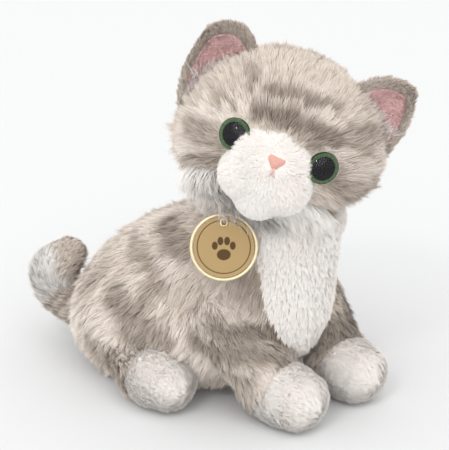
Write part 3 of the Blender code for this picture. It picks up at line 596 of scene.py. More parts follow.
bib = {
    "rows": 60, "columns": 46, "from": 3.2, "to": 10.0, "rise": 1.0,
    "hair": 4.6, "density": 6.5, "width": 0.34,
    # degrees round the chest to the right and to the left, from its lowest point to the neck
    "widths": [(4, 6), (25, 27), (36, 46), (42, 56), (49, 61), (60, 65), (68, 68)],
}


# angle round the chest at a torso row, for a share s from -1 to 1 across the bib: s times the width there
def bibAngle(row, s):
    t = np.clip((row - bib["from"]) / (bib["to"] - bib["from"]), 0, 1)
    widths = throughRows(bib["widths"], t * (len(bib["widths"]) - 1))
    return np.radians(np.where(s < 0, widths[..., 0], widths[..., 1])) * s


# a thin closed patch on a surface function: its face is lifted by rise and falls to its edge, and its
# back lies just inside
def patchSkin(place, normalAt, rows, columns, rise):
    s = np.linspace(-1, 1, columns)[None, :] + np.zeros((rows, 1))
    t = np.linspace(0, 1, rows)[:, None] + np.zeros((1, columns))
    p, n = place(s, t), normalAt(s, t)
    edge = np.maximum(np.abs(s), np.abs(2 * t - 1)) ** 6
    outer = p + n * (rise * (1 - edge) + 0.15)[..., None]
    inner = p - n * 0.4
    points = np.concatenate([outer.reshape(-1, 3), inner.reshape(-1, 3)])
    size = rows * columns
    front = gridFaces(rows, columns, looped=False)
    back = front[:, ::-1] + size
    index = np.arange(size).reshape(rows, columns)
    loop = np.concatenate([index[0], index[1:, -1], index[-1, -2::-1], index[-2:0:-1, 0]])
    wall = np.stack([loop, loop + size, np.roll(loop, -1) + size, np.roll(loop, -1)], -1)
    faceSets = [np.concatenate([front, back, wall])]
    tri = np.concatenate(trianglesOf([front]))
    way = np.cross(points[tri[:, 1]] - points[tri[:, 0]], points[tri[:, 2]] - points[tri[:, 0]])
    if (way * n.reshape(-1, 3)[tri[:, 0]]).sum() < 0:
        faceSets = [faceSets[0][:, ::-1]]
    return points, faceSets, size


# a point of the bib: torso row from its lowest to its highest, and the angle across it
def bibPlace(s, t):
    row = bib["from"] + t * (bib["to"] - bib["from"])
    return torsoPoint(row, bibAngle(row, s))


# the torso's normal there, turned away from a point inside the body
def bibNormal(s, t):
    row = bib["from"] + t * (bib["to"] - bib["from"])
    n = surfaceNormal(torsoPoint, row, bibAngle(row, s), 0.05, 0.02)
    return np.where(((bibPlace(s, t) - (0, -40, 60)) * n).sum(-1, keepdims=True) < 0, -n, n)


bibPoints, bibFaces, bibSize = patchSkin(bibPlace, bibNormal, bib["rows"], bib["columns"], bib["rise"])


# distance from each point to the nearest of some others, taken in parts to spare memory
def nearestGap(p, cloudPoints):
    best = np.full(len(p), 1e9)
    for part in np.array_split(cloudPoints, max(1, len(cloudPoints) // 64)):
        best = np.minimum(best, np.sqrt(((p[:, None] - part[None]) ** 2).sum(-1)).min(1))
    return best


bibOutline = bibPoints[:bibSize].reshape(bib["rows"], bib["columns"], 3)[::2, ::2].reshape(-1, 3)


# 1 outside the bib and 0 inside it
def offBib(p):
    front = p[:, 1] < -30
    gap = np.full(len(p), 1e3)
    gap[front] = nearestGap(p[front], bibOutline)
    return (gap > 2.6).astype(float)


# hair length on the torso: full, shorter under the jaw and near the floor, none on the seat
def torsoLength(p):
    fromJaw = sizeOf(p - headCentre)[:, 0] - neckBall - neckGap
    length = torso["hair"] * ramp(0.5, 9, fromJaw)
    length = length * (0.35 + 0.65 * ramp(1.0, 9.0, p[:, 2]))
    return np.where(p[:, 2] < 1.5, 0, length)


# hair hangs down and a little back
def torsoComb(p, n):
    return np.array([0, 0.45, -1.0]) + 0 * p


torsoSkin = skinPiece("torsoSkin", torsoSkinData, greyCoat, ["torso_skin"])
torsoFurRight = growFur("torsoFurRight", torsoSkinData, torso, torsoComb, greyCoat, torsoLength,
                        lambda p: offBib(p) * (p[:, 0] < 0))
torsoFurLeft = growFur("torsoFurLeft", torsoSkinData, torso, torsoComb, greyCoat, torsoLength,
                       lambda p: offBib(p) * (p[:, 0] >= 0))
bibSkin = skinPiece("bibSkin", (bibPoints, bibFaces), whiteCoat, ["chest_panel"])
bibLook = {"hair": bib["hair"], "density": bib["density"], "width": bib["width"], "lean": 0.55, "tuft": 2.4,
           "pull": 0.3, "frost": 0.5, "shade": 0.92, "vary": 0.02, "streak": 0.03, "stray": 0.07,
           "swirl": 0.4, "material": pileMaterial}
bibFront = (bibPoints[:bibSize], [bibFaces[0][: (bib["rows"] - 1) * (bib["columns"] - 1)]])


# the bib's hair, shorter where the jaw rests on it
def bibLength(p):
    fromJaw = sizeOf(p - headCentre)[:, 0] - neckBall - neckGap
    return bib["hair"] * (0.2 + 0.8 * ramp(1.0, 8.0, fromJaw))


bibFur = growFur("bibFur", bibFront, bibLook, lambda p, n: np.array([0, 0.1, -1.0]) + 0 * p, whiteCoat,
                 bibLength)
rideWith("torso", torsoSkin, torsoFurRight, torsoFurLeft, bibSkin, bibFur)


limbs = {
    "foreleg_right": {"path": [(-34, -56, 58, 14.5), (-33.5, -66, 44, 14.5), (-30.5, -79, 29, 14),
                               (-28, -88, 19, 15.5), (-27, -97, 16.8, 16.8), (-27, -107, 15.5, 15.3)],
                      "seam": 3.0},
    "foreleg_left": {"path": [(32, -60, 58, 14.5), (30, -71, 44, 14.5), (25, -85, 29, 14),
                              (22, -94, 19, 15.5), (20, -103, 16.8, 16.8), (19, -112, 15.5, 15.3)],
                     "seam": 3.0},
    "hindleg_right": {"path": [(-45, -4, 22, 14), (-50, -14, 19, 14.5), (-53.5, -24, 17.3, 16),
                               (-55.5, -33, 17, 16.5), (-57, -42, 16, 13.5)], "seam": 2.0},
    "hindleg_left": {"path": [(45, -4, 22, 14), (50, -14, 19, 14.5), (53.5, -24, 17.3, 16),
                              (55.5, -33, 17, 16.5), (57, -42, 16, 13.5)], "seam": 2.0},
}
legLook = {"hair": 7.5, "density": 3.9, "width": 0.40, "lean": 0.60}
pawLook = {"hair": 3.4, "density": 7.0, "width": 0.32, "lean": 0.50, "tuft": 2.2, "pull": 0.3, "frost": 0.5,
           "shade": 0.92, "vary": 0.02, "streak": 0.03, "stray": 0.08, "material": pileMaterial}


# rings square to a path of (x, y, z, radius) from one place on it to another, with a round cap at each end;
# the sideways direction is +X made square to the path
def tubeRings(path, start, stop, rows, columns, startRound=1.0, endRound=1.0):
    places = np.linspace(start, stop, rows)
    line = throughRows(path, places)
    ahead = unit(throughRows(path, places + 0.02)[:, :3] - throughRows(path, places - 0.02)[:, :3])
    ahead[0], ahead[-1] = ahead[1], ahead[-2]
    bend = np.radians(np.array([75, 60, 45, 30, 15]))
    centres, radii, ways = [], [], []
    for end, sign, depth, order in ((0, -1, startRound, bend), (-1, 1, endRound, bend[::-1])):
        centres.append(line[end, :3] + sign * ahead[end] * line[end, 3] * depth * np.sin(order)[:, None])
        radii.append(line[end, 3] * np.cos(order))
        ways.append(ahead[end] + 0 * order[:, None])
    centre = np.concatenate([centres[0], line[:, :3], centres[1]])
    radius = np.concatenate([radii[0], line[:, 3], radii[1]])
    way = np.concatenate([ways[0], ahead, ways[1]])
    across = unit(np.array([1.0, 0, 0]) - way * way[:, :1])
    upward = np.cross(way, across)
    turn = np.linspace(0, 2 * math.pi, columns, endpoint=False)
    ring = np.cos(turn)[None, :, None] * across[:, None] + np.sin(turn)[None, :, None] * upward[:, None]
    grid = centre[:, None] + ring * radius[:, None, None]
    poles = (line[0, :3] - ahead[0] * line[0, 3] * startRound,
             line[-1, :3] + ahead[-1] * line[-1, 3] * endRound)
    return grid, poles, (centre, way)


# direction of the path at each point's nearest ring centre
def alongPath(p, line):
    centre, way = line
    near = ((p[:, None] - centre[None]) ** 2).sum(-1).argmin(1)
    return way[near]


# a paw's skin: the tube's end, with soft creases between the toes at its front
def pawGrid(path, seam):
    grid, poles, line = tubeRings(path, seam - 0.15, len(path) - 1, 30, 72, 0.5, 0.72)
    toe = np.array(path[-1][:3])
    way = line[1][-1]
    front = ramp(-0.2, 1.0, ((grid - toe) @ way) / path[-1][3])
    across = (grid - toe)[..., 0] / path[-1][3]
    crease = np.exp(-((np.abs(across) - 0.32) / 0.10) ** 2)
    grid = grid - (grid - toe) * (0.07 * crease * front)[..., None]
    grid[..., 2] = np.maximum(grid[..., 2], 0.4)
    return grid, poles, line


for limb, plan in limbs.items():
    print(limb)
    path, seam = plan["path"], plan["seam"]
    grid, poles, line = tubeRings(path, 0, seam + 0.25, 36, 64, 1.0, 0.5)
    grid[..., 2] = np.maximum(grid[..., 2], 0.4)
    legSkinData = closedSkin(grid, *poles)
    seamPoint, seamWay = throughRows(path, np.array([seam]))[0, :3], unit(
        throughRows(path, np.array([seam + 0.1]))[0, :3] - throughRows(path, np.array([seam - 0.1]))[0, :3])

    # full length down to the seam, shorter just above it, and none in the floor
    def legLength(p, at=seamPoint, way=seamWay):
        before = -((p - at) @ way)
        return legLook["hair"] * ramp(-1.0, 3.0, before) * (0.35 + 0.65 * ramp(1, 8, p[:, 2]))

    legSkin = skinPiece(limb + "Skin", legSkinData, greyCoat, [limb + "_skin"])
    legFur = growFur(limb + "Fur", legSkinData, legLook, lambda p, n: alongPath(p, line), greyCoat, legLength)
    grid, pawPoles, pawLine = pawGrid(path, seam)
    pawSkinData = closedSkin(grid, *pawPoles)

    # full length past the seam, shorter near the floor
    def pawLength(p, at=seamPoint, way=seamWay):
        after = (p - at) @ way
        return pawLook["hair"] * ramp(-2.0, 1.0, after) * (0.3 + 0.7 * ramp(0.8, 5, p[:, 2]))

    pawSkin = skinPiece(limb + "Paw", pawSkinData, whiteCoat, [limb + "_paw"])
    pawFur = growFur(limb + "PawFur", pawSkinData, pawLook, lambda p, n: alongPath(p, pawLine), whiteCoat,
                     pawLength)
    rideWith(limb, legSkin, legFur, pawSkin, pawFur)


print("tail")
tail = {
    "path": [(-21, 36, 24, 11), (-26, 46, 25.5, 11.5), (-30, 54, 28.5, 11.5), (-33.5, 60.5, 33.5, 11.5),
             (-36, 63.8, 39.5, 11.6), (-37, 64, 46.5, 12), (-35.5, 61.5, 53, 10.5), (-31.5, 58.5, 57.5, 8.5)],
    "middle": np.array([-33.5, 60.5, 33.5]), "hair": 7.5, "density": 4.2, "width": 0.40, "lean": 0.60,
    "rings": [(1.7, 0.16), (2.5, 0.18), (3.2, 0.20), (4.0, 0.18)], "brown": (5.2, 6.2),
}
tailGrid, tailPoles, tailLine = tubeRings(tail["path"], 0, 7, 90, 64, 1.0, 1.0)
tailSkinData = closedSkin(tailGrid, *tailPoles)
tailPlaces = throughRows(tail["path"], np.linspace(0, 7, 141))[:, :3]


# dark rings round the tail, a pale bend, and a brown end
def tailCoat(p):
    stir = (np.stack([cloud(p, 6.0, s) for s in (41, 42, 43)], -1) - 0.5) * 5
    at = ((p[:, None] + stir[:, None] - tailPlaces[None]) ** 2).sum(-1).argmin(1) / 20
    dark = np.zeros(len(p))
    for place, half in tail["rings"]:
        dark = np.maximum(dark, 0.6 * (1 - ramp(0.5, 1.5, np.abs(at - place) / half)))
    dark = np.maximum(dark, 0.24 * ramp(tail["brown"][0], tail["brown"][1], at))
    colour = coatColour(p, dark)
    outer = ramp(-4, 3, (p - (-36, 62, 45)) @ np.array([-0.64, 0.77, 0]))
    pale = np.maximum(ramp(4.1, 4.7, at) * (1 - ramp(5.0, 5.6, at)),
                      outer * ramp(3.0, 4.0, at) * (1 - ramp(6, 7, at)))
    pale = pale[:, None] * 0.9
    return colour * (1 - pale) + coat["white"] * pale


# hair gets shorter over the tip
def tailLength(p):
    return tail["hair"] * (1 - 0.6 * ramp(48, 64, p[:, 2]))


tailSkin = skinPiece("tailSkin", tailSkinData, tailCoat, ["tail_root_skin", "tail_end_skin"])
tailFur = growFur("tailFur", tailSkinData, tail, lambda p, n: alongPath(p, tailLine), tailCoat, tailLength)
for piece in (tailSkin, tailFur):
    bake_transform(piece)


print("head")
polars = np.linspace(0.06, math.pi - 0.06, head["rows"])
arounds = np.linspace(0, 2 * math.pi, head["columns"], endpoint=False)
headGrid = headPoint(polars[:, None] + 0 * arounds, 0 * polars[:, None] + arounds)
down = np.array([0, 0, -1.0])
headSkinData = closedSkin(headGrid, onHead(headCentre + down), onHead(headCentre - down))

chin = {"towards": unit(np.array([0, -0.46, -0.88])), "wide": 62, "tall": 42, "hair": 17.0, "density": 5.5}


# the chin patch: a disc of directions about its middle, s and t across and along, laid on the head
def chinPlace(s, t, lift=0.0):
    t = 2 * t - 1
    x = s * np.sqrt(1 - t * t / 2)
    y = t * np.sqrt(1 - s * s / 2)
    upWay = unit(np.cross([1.0, 0, 0], chin["towards"]))
    local = (chin["towards"] + np.tan(np.radians(x * chin["wide"] * 0.62))[..., None] * np.array([1.6, 0, 0])
             + np.tan(np.radians(y * chin["tall"]))[..., None] * upWay)
    return onHead(fromHead(unit(local)), lift)


# the egg's normal at a point of the patch
def chinNormal(s, t):
    p = chinPlace(s, t)
    local = toHead(p) / head["radii"] ** 2
    return unit(local) @ headAxes.T


chinPoints, chinFaces, chinSize = patchSkin(chinPlace, chinNormal, 50, 60, 0.9)
chinDots = chinPoints[:chinSize].reshape(50, 60, 3)[::2, ::2].reshape(-1, 3)


# 1 on the grey part of the head, 0 on the chin patch and inside the muzzle
def offChin(p):
    gap = nearestGap(p, chinDots)
    inMuzzle = sizeOf(p - muzzleMiddle)[:, 0] < 19.5
    return ((gap > 2.2) & ~inMuzzle).astype(float)


# 0 on the part of the head that rests on the neck and 1 outside it; the part is smaller towards the chest
def neckRoom(p):
    way = unit(p - headCentre)
    below = np.degrees(np.arccos(np.clip(-way[:, 2], -1, 1)))
    forward = np.maximum(way @ np.array([-0.35, -0.94, 0]), 0)
    return ramp(30 - 22 * forward, 50 - 26 * forward, below)


# how far a point in head terms is from the foot of the nearer ear
def earGap(local):
    best = np.full(len(local), 1e9)
    for name, sign in (("right", -1), ("left", 1)):
        a, b = ear["inner"][name] * (sign, 1, 1), ear["outer"][name] * (sign, 1, 1)
        t = np.clip((local - a) @ (b - a) / ((b - a) @ (b - a)), 0, 1)
        best = np.minimum(best, sizeOf(local - a - t[:, None] * (b - a))[:, 0])
    return best


# hair length on the head: short round the eyes and where the muzzle joins, none under the jaw on the neck
def headLength(p):
    eyeGap = np.minimum(*(sizeOf(p - eyeSeats[s][0])[:, 0] for s in ("right", "left")))
    length = head["hair"] * ramp(4.5, 17, eyeGap)
    length = np.where(eyeGap < 8.0, 0, np.maximum(length, 2.6))
    jowl = ramp(0, -20, toHead(p)[:, 2]) * ramp(18, 34, np.abs(toHead(p)[:, 0]))
    length = length * (1 + 0.45 * jowl) * neckRoom(p) * (0.45 + 0.55 * ramp(5, 14, earGap(toHead(p))))
    return length * (0.55 + 0.45 * ramp(21, 34, sizeOf(p - muzzleMiddle)[:, 0]))


# hair runs away from the nose, and lies down and back on the cheeks
def headComb(p, n):
    outward = unit(p - muzzleMiddle)
    lower = ramp(8, -25, toHead(p)[:, 2])[:, None]
    return outward + np.array([0, 0, -1.0]) * 0.55 * lower


# the beard hangs down and a little forward, and over the top of the tag
def beardComb(p, n):
    over = ramp(36, 18, sizeOf(p - (-45, -70, 118)))
    return unit(p - muzzleMiddle) * 0.5 + np.array([-0.15, -0.35, -1.0]) + over * (-1.1, -0.9, 0.1)


# true on the cat's left half of the head
def leftHalf(p):
    return toHead(p)[:, 0] >= 0


headSkin = skinPiece("headSkin", headSkinData, headCoat, ["head_skin"])
headFurRight = growFur("headFurRight", headSkinData, head, headComb, headCoat, headLength,
                       lambda p: offChin(p) * ~leftHalf(p))
headFurLeft = growFur("headFurLeft", headSkinData, head, headComb, headCoat, headLength,
                      lambda p: offChin(p) * leftHalf(p))
chinSkin = skinPiece("chinSkin", (chinPoints, chinFaces), whiteCoat, ["chin_panel"])
chinLook = {"hair": chin["hair"], "density": chin["density"], "width": 0.34, "lean": 0.42, "tuft": 2.6,
            "frost": 0.5, "shade": 0.92, "vary": 0.02, "streak": 0.03, "stray": 0.08,
            "material": pileMaterial}
chinFront = (chinPoints[:chinSize], [chinFaces[0][: 49 * 59]])


# beard: full length, shorter towards the muzzle, none inside it and on the neck
def beardLength(p):
    fromMuzzle = sizeOf(p - muzzleMiddle)[:, 0]
    return chin["hair"] * neckRoom(p) * (0.45 + 0.55 * ramp(20, 32, fromMuzzle)) * (fromMuzzle > 19.0)


chinFur = growFur("chinFur", chinFront, chinLook, beardComb, whiteCoat, beardLength)

print("muzzle")
polars = np.linspace(0.03, math.radians(132), muzzle["rows"])
arounds = np.linspace(0, 2 * math.pi, muzzle["columns"], endpoint=False)
# muzzle skin: reach times the direction at a polar angle from straight ahead
polarGrid, aroundGrid = np.meshgrid(polars, arounds, indexing="ij")
ways = np.stack([np.sin(polarGrid) * np.cos(aroundGrid), -np.cos(polarGrid),
                 np.sin(polarGrid) * np.sin(aroundGrid)], -1)
muzzleGrid = muzzlePoint(ways)
muzzleSkinData = closedSkin(muzzleGrid, muzzlePoint(np.array([0, -1.0, 0])), muzzleGrid[-1].mean(0))
muzzleLook = {"hair": muzzle["hair"], "density": muzzle["density"], "width": 0.30, "lean": 0.42, "tuft": 1.8,
              "pull": 0.25, "frost": 0.5, "shade": 0.94, "vary": 0.015, "streak": 0.02, "stray": 0.10,
              "material": pileMaterial}
nose = {"towards": np.array([2.0, -20.5, 11.0]), "columns": 72, "rows": 26, "height": 2.0, "sink": 0.4,
        "outline": [(0, -3.7), (1.8, -2.6), (3.5, -0.3), (4.5, 1.6), (4.0, 3.0), (2.0, 3.4), (0, 3.3),
                    (-2.0, 3.4), (-4.0, 3.0), (-4.5, 1.6), (-3.5, -0.3), (-1.8, -2.6)]}
noseAt = muzzlePoint(nose["towards"])


# the muzzle's hair, shorter round the nose
def muzzleLength(p):
    nearNose = sizeOf(p - noseAt)[:, 0]
    return muzzle["hair"] * (0.4 + 0.6 * ramp(3.0, 7.0, nearNose))


muzzleSkin = skinPiece("muzzleSkin", muzzleSkinData, whiteCoat, ["muzzle_skin"])
muzzleFur = growFur("muzzleFur", muzzleSkinData, muzzleLook,
                    lambda p, n: unit(p - noseAt) + (0, 0, -0.3), whiteCoat, muzzleLength,
                    lambda p: outsideHead(p, 2))
rideWith("head", headSkin, headFurRight, headFurLeft, chinSkin, chinFur, muzzleSkin, muzzleFur)


print("nose and mouth")
threadMaterial = plushMaterial("noseThread", 0.55, 0.1)
noseNormal = unit(np.cross(muzzlePoint(nose["towards"] + (0.6, 0, 0)) - noseAt,
                           muzzlePoint(nose["towards"] + (0, 0, 0.6)) - noseAt))
noseNormal = noseNormal if noseNormal @ (noseAt - muzzleMiddle) > 0 else -noseNormal
noseAcross = unit(headAxes[:, 0] - noseNormal * (noseNormal @ headAxes[:, 0]))
noseUp = np.cross(noseAcross, noseNormal)
noseUp = noseUp if noseUp @ headAxes[:, 2] > 0 else -noseUp

# nose pad: share of the outline at each ring, height (1 - share^2.4), with satin stitches as fine ridges
share = np.concatenate([np.linspace(0.04, 1, nose["rows"]), [1.02, 1.0]])[:, None]
outline = throughRows(nose["outline"], np.linspace(0, 12, nose["columns"], endpoint=False), looped=True)
flatPlace = share[..., None] * outline[None]
dome = nose["height"] * (1 - np.minimum(share, 1) ** 2.4) + 0.35
stitch = 0.07 * np.abs(np.sin(flatPlace[..., 0] * math.pi / 0.36)) * (share < 0.98)
height = dome + stitch - nose["sink"]
height[-2:] = [[-0.9], [-1.6]]
noseGrid = (noseAt + noseAcross * flatPlace[..., :1] + noseUp * flatPlace[..., 1:]
            + noseNormal * height[..., None])
nosePoints, noseFaces = closedSkin(noseGrid, noseAt + noseNormal * nose["height"], noseAt - noseNormal * 1.6)
# painted highlight: the nose thread is painted lighter along the top of each stitch ridge, where the relief
# is highest
stitchSheen = np.abs(np.sin(flatPlace[..., 0] * math.pi / 0.36)).ravel()
noseTint = tone(214, 158, 146) * 0.75 + tone(232, 190, 178) * 0.22 * np.append(stitchSheen, [1, 1])[:, None]
nosePad = makePiece("nosePad", nosePoints, noseFaces, threadMaterial, np.clip(noseTint, 0, 1))
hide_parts("nose")

mouth = {"thick": 0.34, "marks": [(-6.5, -8.6), (-4.5, -9.6), (-2.2, -8.8), (-0.8, -6.8), (-0.3, -4.8),
                                  (0.0, -3.7), (0.3, -4.8), (0.8, -6.8), (2.2, -8.8), (4.5, -9.6),
                                  (6.5, -8.6)]}
# mouth thread: a twisted cord of two strands through marks below the nose,
# its radius is thick (1 + 0.18 cos(2a - twist))
marks = throughRows(mouth["marks"], np.linspace(0, len(mouth["marks"]) - 1, 240))
lineTo = nose["towards"] + np.stack([marks[:, 0], 0 * marks[:, 0], marks[:, 1]], -1)
threadLine = muzzlePoint(lineTo, (1.6 - 1.5 * ramp(0.3, 2.5, np.abs(marks[:, 0])))[:, None])
threadWay = unit(np.gradient(threadLine, axis=0))
threadOut = unit(threadLine - muzzleMiddle)
threadSide = unit(np.cross(threadWay, threadOut))
threadOut = np.cross(threadSide, threadWay)
turn = np.linspace(0, 2 * math.pi, 12, endpoint=False)
twist = np.arange(240)[:, None] * 0.45
thickness = mouth["thick"] * (1 + 0.18 * np.cos(2 * turn[None] - twist))
threadGrid = threadLine[:, None] + thickness[..., None] * (
    np.cos(turn)[None, :, None] * threadSide[:, None] + np.sin(turn)[None, :, None] * threadOut[:, None])
threadPoints, threadFaces = closedSkin(threadGrid)
mouthThread = makePiece("mouthThread", threadPoints, threadFaces, threadMaterial,
                        tone(212, 176, 168) + 0 * threadPoints)
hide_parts("mouth_stitch")
rideWith("head", nosePad, mouthThread)


print("eyes")
eye = {"radius": 8.3, "pupil": 6.2, "dome": 4.6, "columns": 96}
irisMaterial = plushMaterial("irisGreen", 0.6, 0.0)
irisMaterial.node_tree.nodes["Principled BSDF"].inputs["Specular IOR Level"].default_value = 0
pupilMaterial = freshMaterial("pupilBlack", {"Base Color": (*tone(10, 10, 14), 1), "Roughness": 0.6,
                                             "Specular IOR Level": 0.0})[0]


# clear dome: mirror-smooth plastic that only shows where it reflects, by Fresnel
def domeMaterialOf():
    made, tree, shader = freshMaterial("eyeClear", {"Base Color": (1, 1, 1, 1), "Metallic": 1.0,
                                                    "Roughness": 0.03})
    fresnel = tree.nodes.new("ShaderNodeFresnel")
    fresnel.inputs["IOR"].default_value = 1.36
    # the back of the clear shell lets everything through
    facts = tree.nodes.new("ShaderNodeNewGeometry")
    seen = tree.nodes.new("ShaderNodeMath")
    seen.operation = "SUBTRACT"
    seen.inputs[0].default_value = 1
    both = tree.nodes.new("ShaderNodeMath")
    both.operation = "MULTIPLY"
    tree.links.new(facts.outputs["Backfacing"], seen.inputs[1])
    tree.links.new(seen.outputs[0], both.inputs[0])
    tree.links.new(fresnel.outputs["Fac"], both.inputs[1])
    tree.links.new(both.outputs[0], shader.inputs["Alpha"])
    return made


domeMaterial = domeMaterialOf()


# rings about an axis from (along, radius) pairs
def latheGrid(profile, centre, axis, columns):
    profile = np.asarray(profile, float)
    across = unit(np.cross(axis, (0.31, 0.17, 0.93)))
    upward = np.cross(axis, across)
    turn = np.linspace(0, 2 * math.pi, columns, endpoint=False)
    ring = np.cos(turn)[:, None] * across + np.sin(turn)[:, None] * upward
    return centre + profile[:, :1, None] * axis + profile[:, 1:, None] * ring


for name, (seat, facing) in eyeSeats.items():
    radii = np.linspace(0.3, eye["radius"], 26)
    # iris: a shallow bowl, 1.0 + 0.5 (r / R)^2 out from the seat
    profile = ([(1.0 + 0.5 * (r / eye["radius"]) ** 2, r) for r in radii]
               + [(1.3, 8.38), (0.2, 8.3), (-0.4, 7.8)])
    profile += [(-0.6, 1.7), (-6.0, 1.7)]
    grid = latheGrid(profile, seat, facing, eye["columns"])
    points, faces = closedSkin(grid)
    turn = np.linspace(0, 2 * math.pi, eye["columns"], endpoint=False)[None]
    r = np.array(profile)[:, 1][:, None] / eye["radius"]
    streaks = 0.5 + 0.25 * np.sin(turn * 23 + 2 * np.sin(turn * 5)) + 0.25 * np.sin(turn * 41 + r * 9)
    ringDark = ramp(0.90, 1.0, r) * 0.8 + (1 - ramp(0.72, 0.80, r)) * 0.6
    bright = (0.55 + 0.6 * streaks) * (1 - 0.75 * np.clip(ringDark, 0, 1))
    tint = (tone(74, 100, 66) * bright[..., None]).reshape(-1, 3)
    tint = np.concatenate([tint, tint[:1] * 0.3, tint[-1:] * 0.3])
    iris = makePiece("eye_%s_irisDisc" % name, points, faces, irisMaterial, tint)
    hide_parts("eye_%s_iris" % name)
    # pupil: a lens, 1.9 + 0.35 (1 - (r / R)^2) out
    profile = [(1.8, 0.4), (1.8, eye["pupil"] - 0.1), (1.9, eye["pupil"])]
    profile += [(1.9 + 0.4 * (1 - (r / eye["pupil"]) ** 2), r)
                for r in np.linspace(eye["pupil"] - 0.05, 0.2, 10)]
    points, faces = closedSkin(latheGrid(profile, seat, facing, 64))
    pupil = makePiece("eye_%s_pupilLens" % name, points, faces, pupilMaterial)
    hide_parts("eye_%s_pupil" % name)
    # dome: 2.5 + height sin b out, radius cos b
    bend = np.linspace(0, math.radians(87), 30)
    profile = [(2.5, 0.5), (2.5, eye["radius"] - 0.3)]
    profile += list(zip(2.5 + eye["dome"] * np.sin(bend), (eye["radius"] + 0.05) * np.cos(bend)))
    tipPoint = seat + facing * (2.5 + eye["dome"])
    points, faces = closedSkin(latheGrid(profile, seat, facing, eye["columns"]), None, tipPoint)
    dome = makePiece("eye_%s_clearDome" % name, points, faces, domeMaterial)
    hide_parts("eye_%s_dome" % name)
    rideWith("head", iris, pupil, dome)


earBackLook = {"hair": 4.2, "density": 6.0, "width": 0.34, "lean": 0.60, "tuft": 2.4, "frost": 0.25,
               "vary": 0.10, "shade": 0.85}
earLiningLook = {"hair": 1.3, "density": 13.0, "width": 0.24, "lean": 0.4, "tuft": 1.4, "frost": 0.15,
                 "shade": 0.95, "vary": 0.04, "material": pileMaterial}
earTuftLook = {"hair": 9.0, "density": 1.2, "width": 0.34, "lean": 0.45, "tuft": 3.0, "frost": 0.5,
               "vary": 0.06, "shade": 0.9}


# grey of the ear backs: light to mid by noise
def earCoat(p):
    edge = cloud(p, 5.0, 61)[:, None] * 0.7
    return coat["light"] * (1 - edge) + coat["mid"] * edge


# two pinks by noise
def earPink(p):
    share = cloud(p, 3.0, 62)[:, None]
    return tone(240, 208, 206) * (1 - share) + tone(226, 190, 188) * share


# an ear leaf: at each level up it, an oval of half width w (1 - level^round)^0.7, cupped forward by cup cos^2
def earGrid(name, sign, wide, thick, forward, tall):
    flip = np.array([sign, 1, 1])
    inner, outer, tip = ear["inner"][name] * flip, ear["outer"][name] * flip, ear["tips"][name] * flip
    along = unit(outer - inner)
    half = sizeOf(outer - inner)[0] / 2
    base = (inner + outer) / 2
    start = base - unit(base) * ear["sink"]
    length = tip - start
    level = (1 - (1 - np.linspace(0, 1, ear["rows"])) ** 1.5)[:, None] * 0.985
    turn = np.linspace(0, 2 * math.pi, ear["columns"], endpoint=False)[None]
    width = half * wide * (1 - level ** ear["round"][name]) ** 0.7
    depth = thick * (1 - 0.3 * level)
    across = np.cos(turn)
    back = depth * np.sin(turn) - forward - ear["cup"] * wide ** 2 * across ** 2
    local = (start + length * (level * tall)[..., None] + along * (width * across)[..., None]
             + np.array([0, 1.0, 0]) * back[..., None])
    top = start + length * tall - np.array([0, forward, 0])
    return fromHead(local), fromHead(top), fromHead(start)


for name, sign in (("right", -1), ("left", 1)):
    print("ear", name)
    grid, top, foot = earGrid(name, sign, 1.0, ear["thick"], 0.0, 1.0)
    backData = closedSkin(grid, None, top)
    earUp = unit(top - foot)
    earBack = skinPiece("ear_%s_shell" % name, backData, earCoat, ["ear_%s_back" % name])
    backFur = growFur("ear_%s_shellFur" % name, backData, earBackLook,
                      lambda p, n: earUp + 0 * p, earCoat, None, lambda p: outsideHead(p, 1))
    grid, top, foot = earGrid(name, sign, 0.78, 0.8, ear["thick"] + 1.1, 0.86)
    liningData = closedSkin(grid, None, top)
    lining = skinPiece("ear_%s_pinkLining" % name, liningData, earPink,
                       ["ear_%s_lining" % name])
    liningFur = growFur("ear_%s_pinkPile" % name, liningData, earLiningLook, lambda p, n: earUp + 0 * p,
                        earPink, None, lambda p: outsideHead(p, 1))
    tuftFur = growFur("ear_%s_tuft" % name, liningData, earTuftLook, lambda p, n: earUp + 0 * p,
                      whiteCoat, None, lambda p: ((p - foot) @ earUp < ear["tuftRise"]) * outsideHead(p, 1))
    rideWith("ear_" + name, earBack, backFur, lining, liningFur, tuftFur)


print("tag")
tag = {"centre": np.array([-49.0, -72.2, 102.0]), "normal": unit([-0.71, -0.60, 0.37]),
       "radius": 17.5, "rim": 1.6, "holeUp": 12.5, "rows": 130, "columns": 260, "ringAt": 13.6}
tagUp = unit(np.array([0, 0, 1.0]) - tag["normal"] * tag["normal"][2])
tagSide = np.cross(tagUp, tag["normal"])
tagFaceMaterial = plushMaterial("tagBronze", 0.38, 0.0)
tagFaceMaterial.node_tree.nodes["Principled BSDF"].inputs["Metallic"].default_value = 0.35
tagRimMaterial = mottledMaterial("tagRimGold", tone(214, 198, 158), tone(232, 220, 186), 900, 0.1,
                                 {"Roughness": 0.32, "Metallic": 0.45})
# paw print: pads as (across, up, half width, half height)
pawPads = [(0, -4.0, 3.6, 2.9), (-4.6, 0.6, 1.5, 2.1), (-1.7, 3.0, 1.5, 2.2), (1.7, 3.0, 1.5, 2.2),
           (4.6, 0.6, 1.5, 2.1)]


# how deep the face is cut at (x, y): a ring line near the edge, and the oval pads of a paw print
def engraving(x, y):
    r = np.hypot(x, y)
    deep = np.exp(-((r - tag["ringAt"]) / 0.28) ** 2)
    for px, py, w, h in pawPads:
        inside = np.sqrt(((x - px) / w) ** 2 + ((y - py) / h) ** 2)
        deep = np.maximum(deep, 1 - ramp(0.92, 1.04, inside))
    return deep


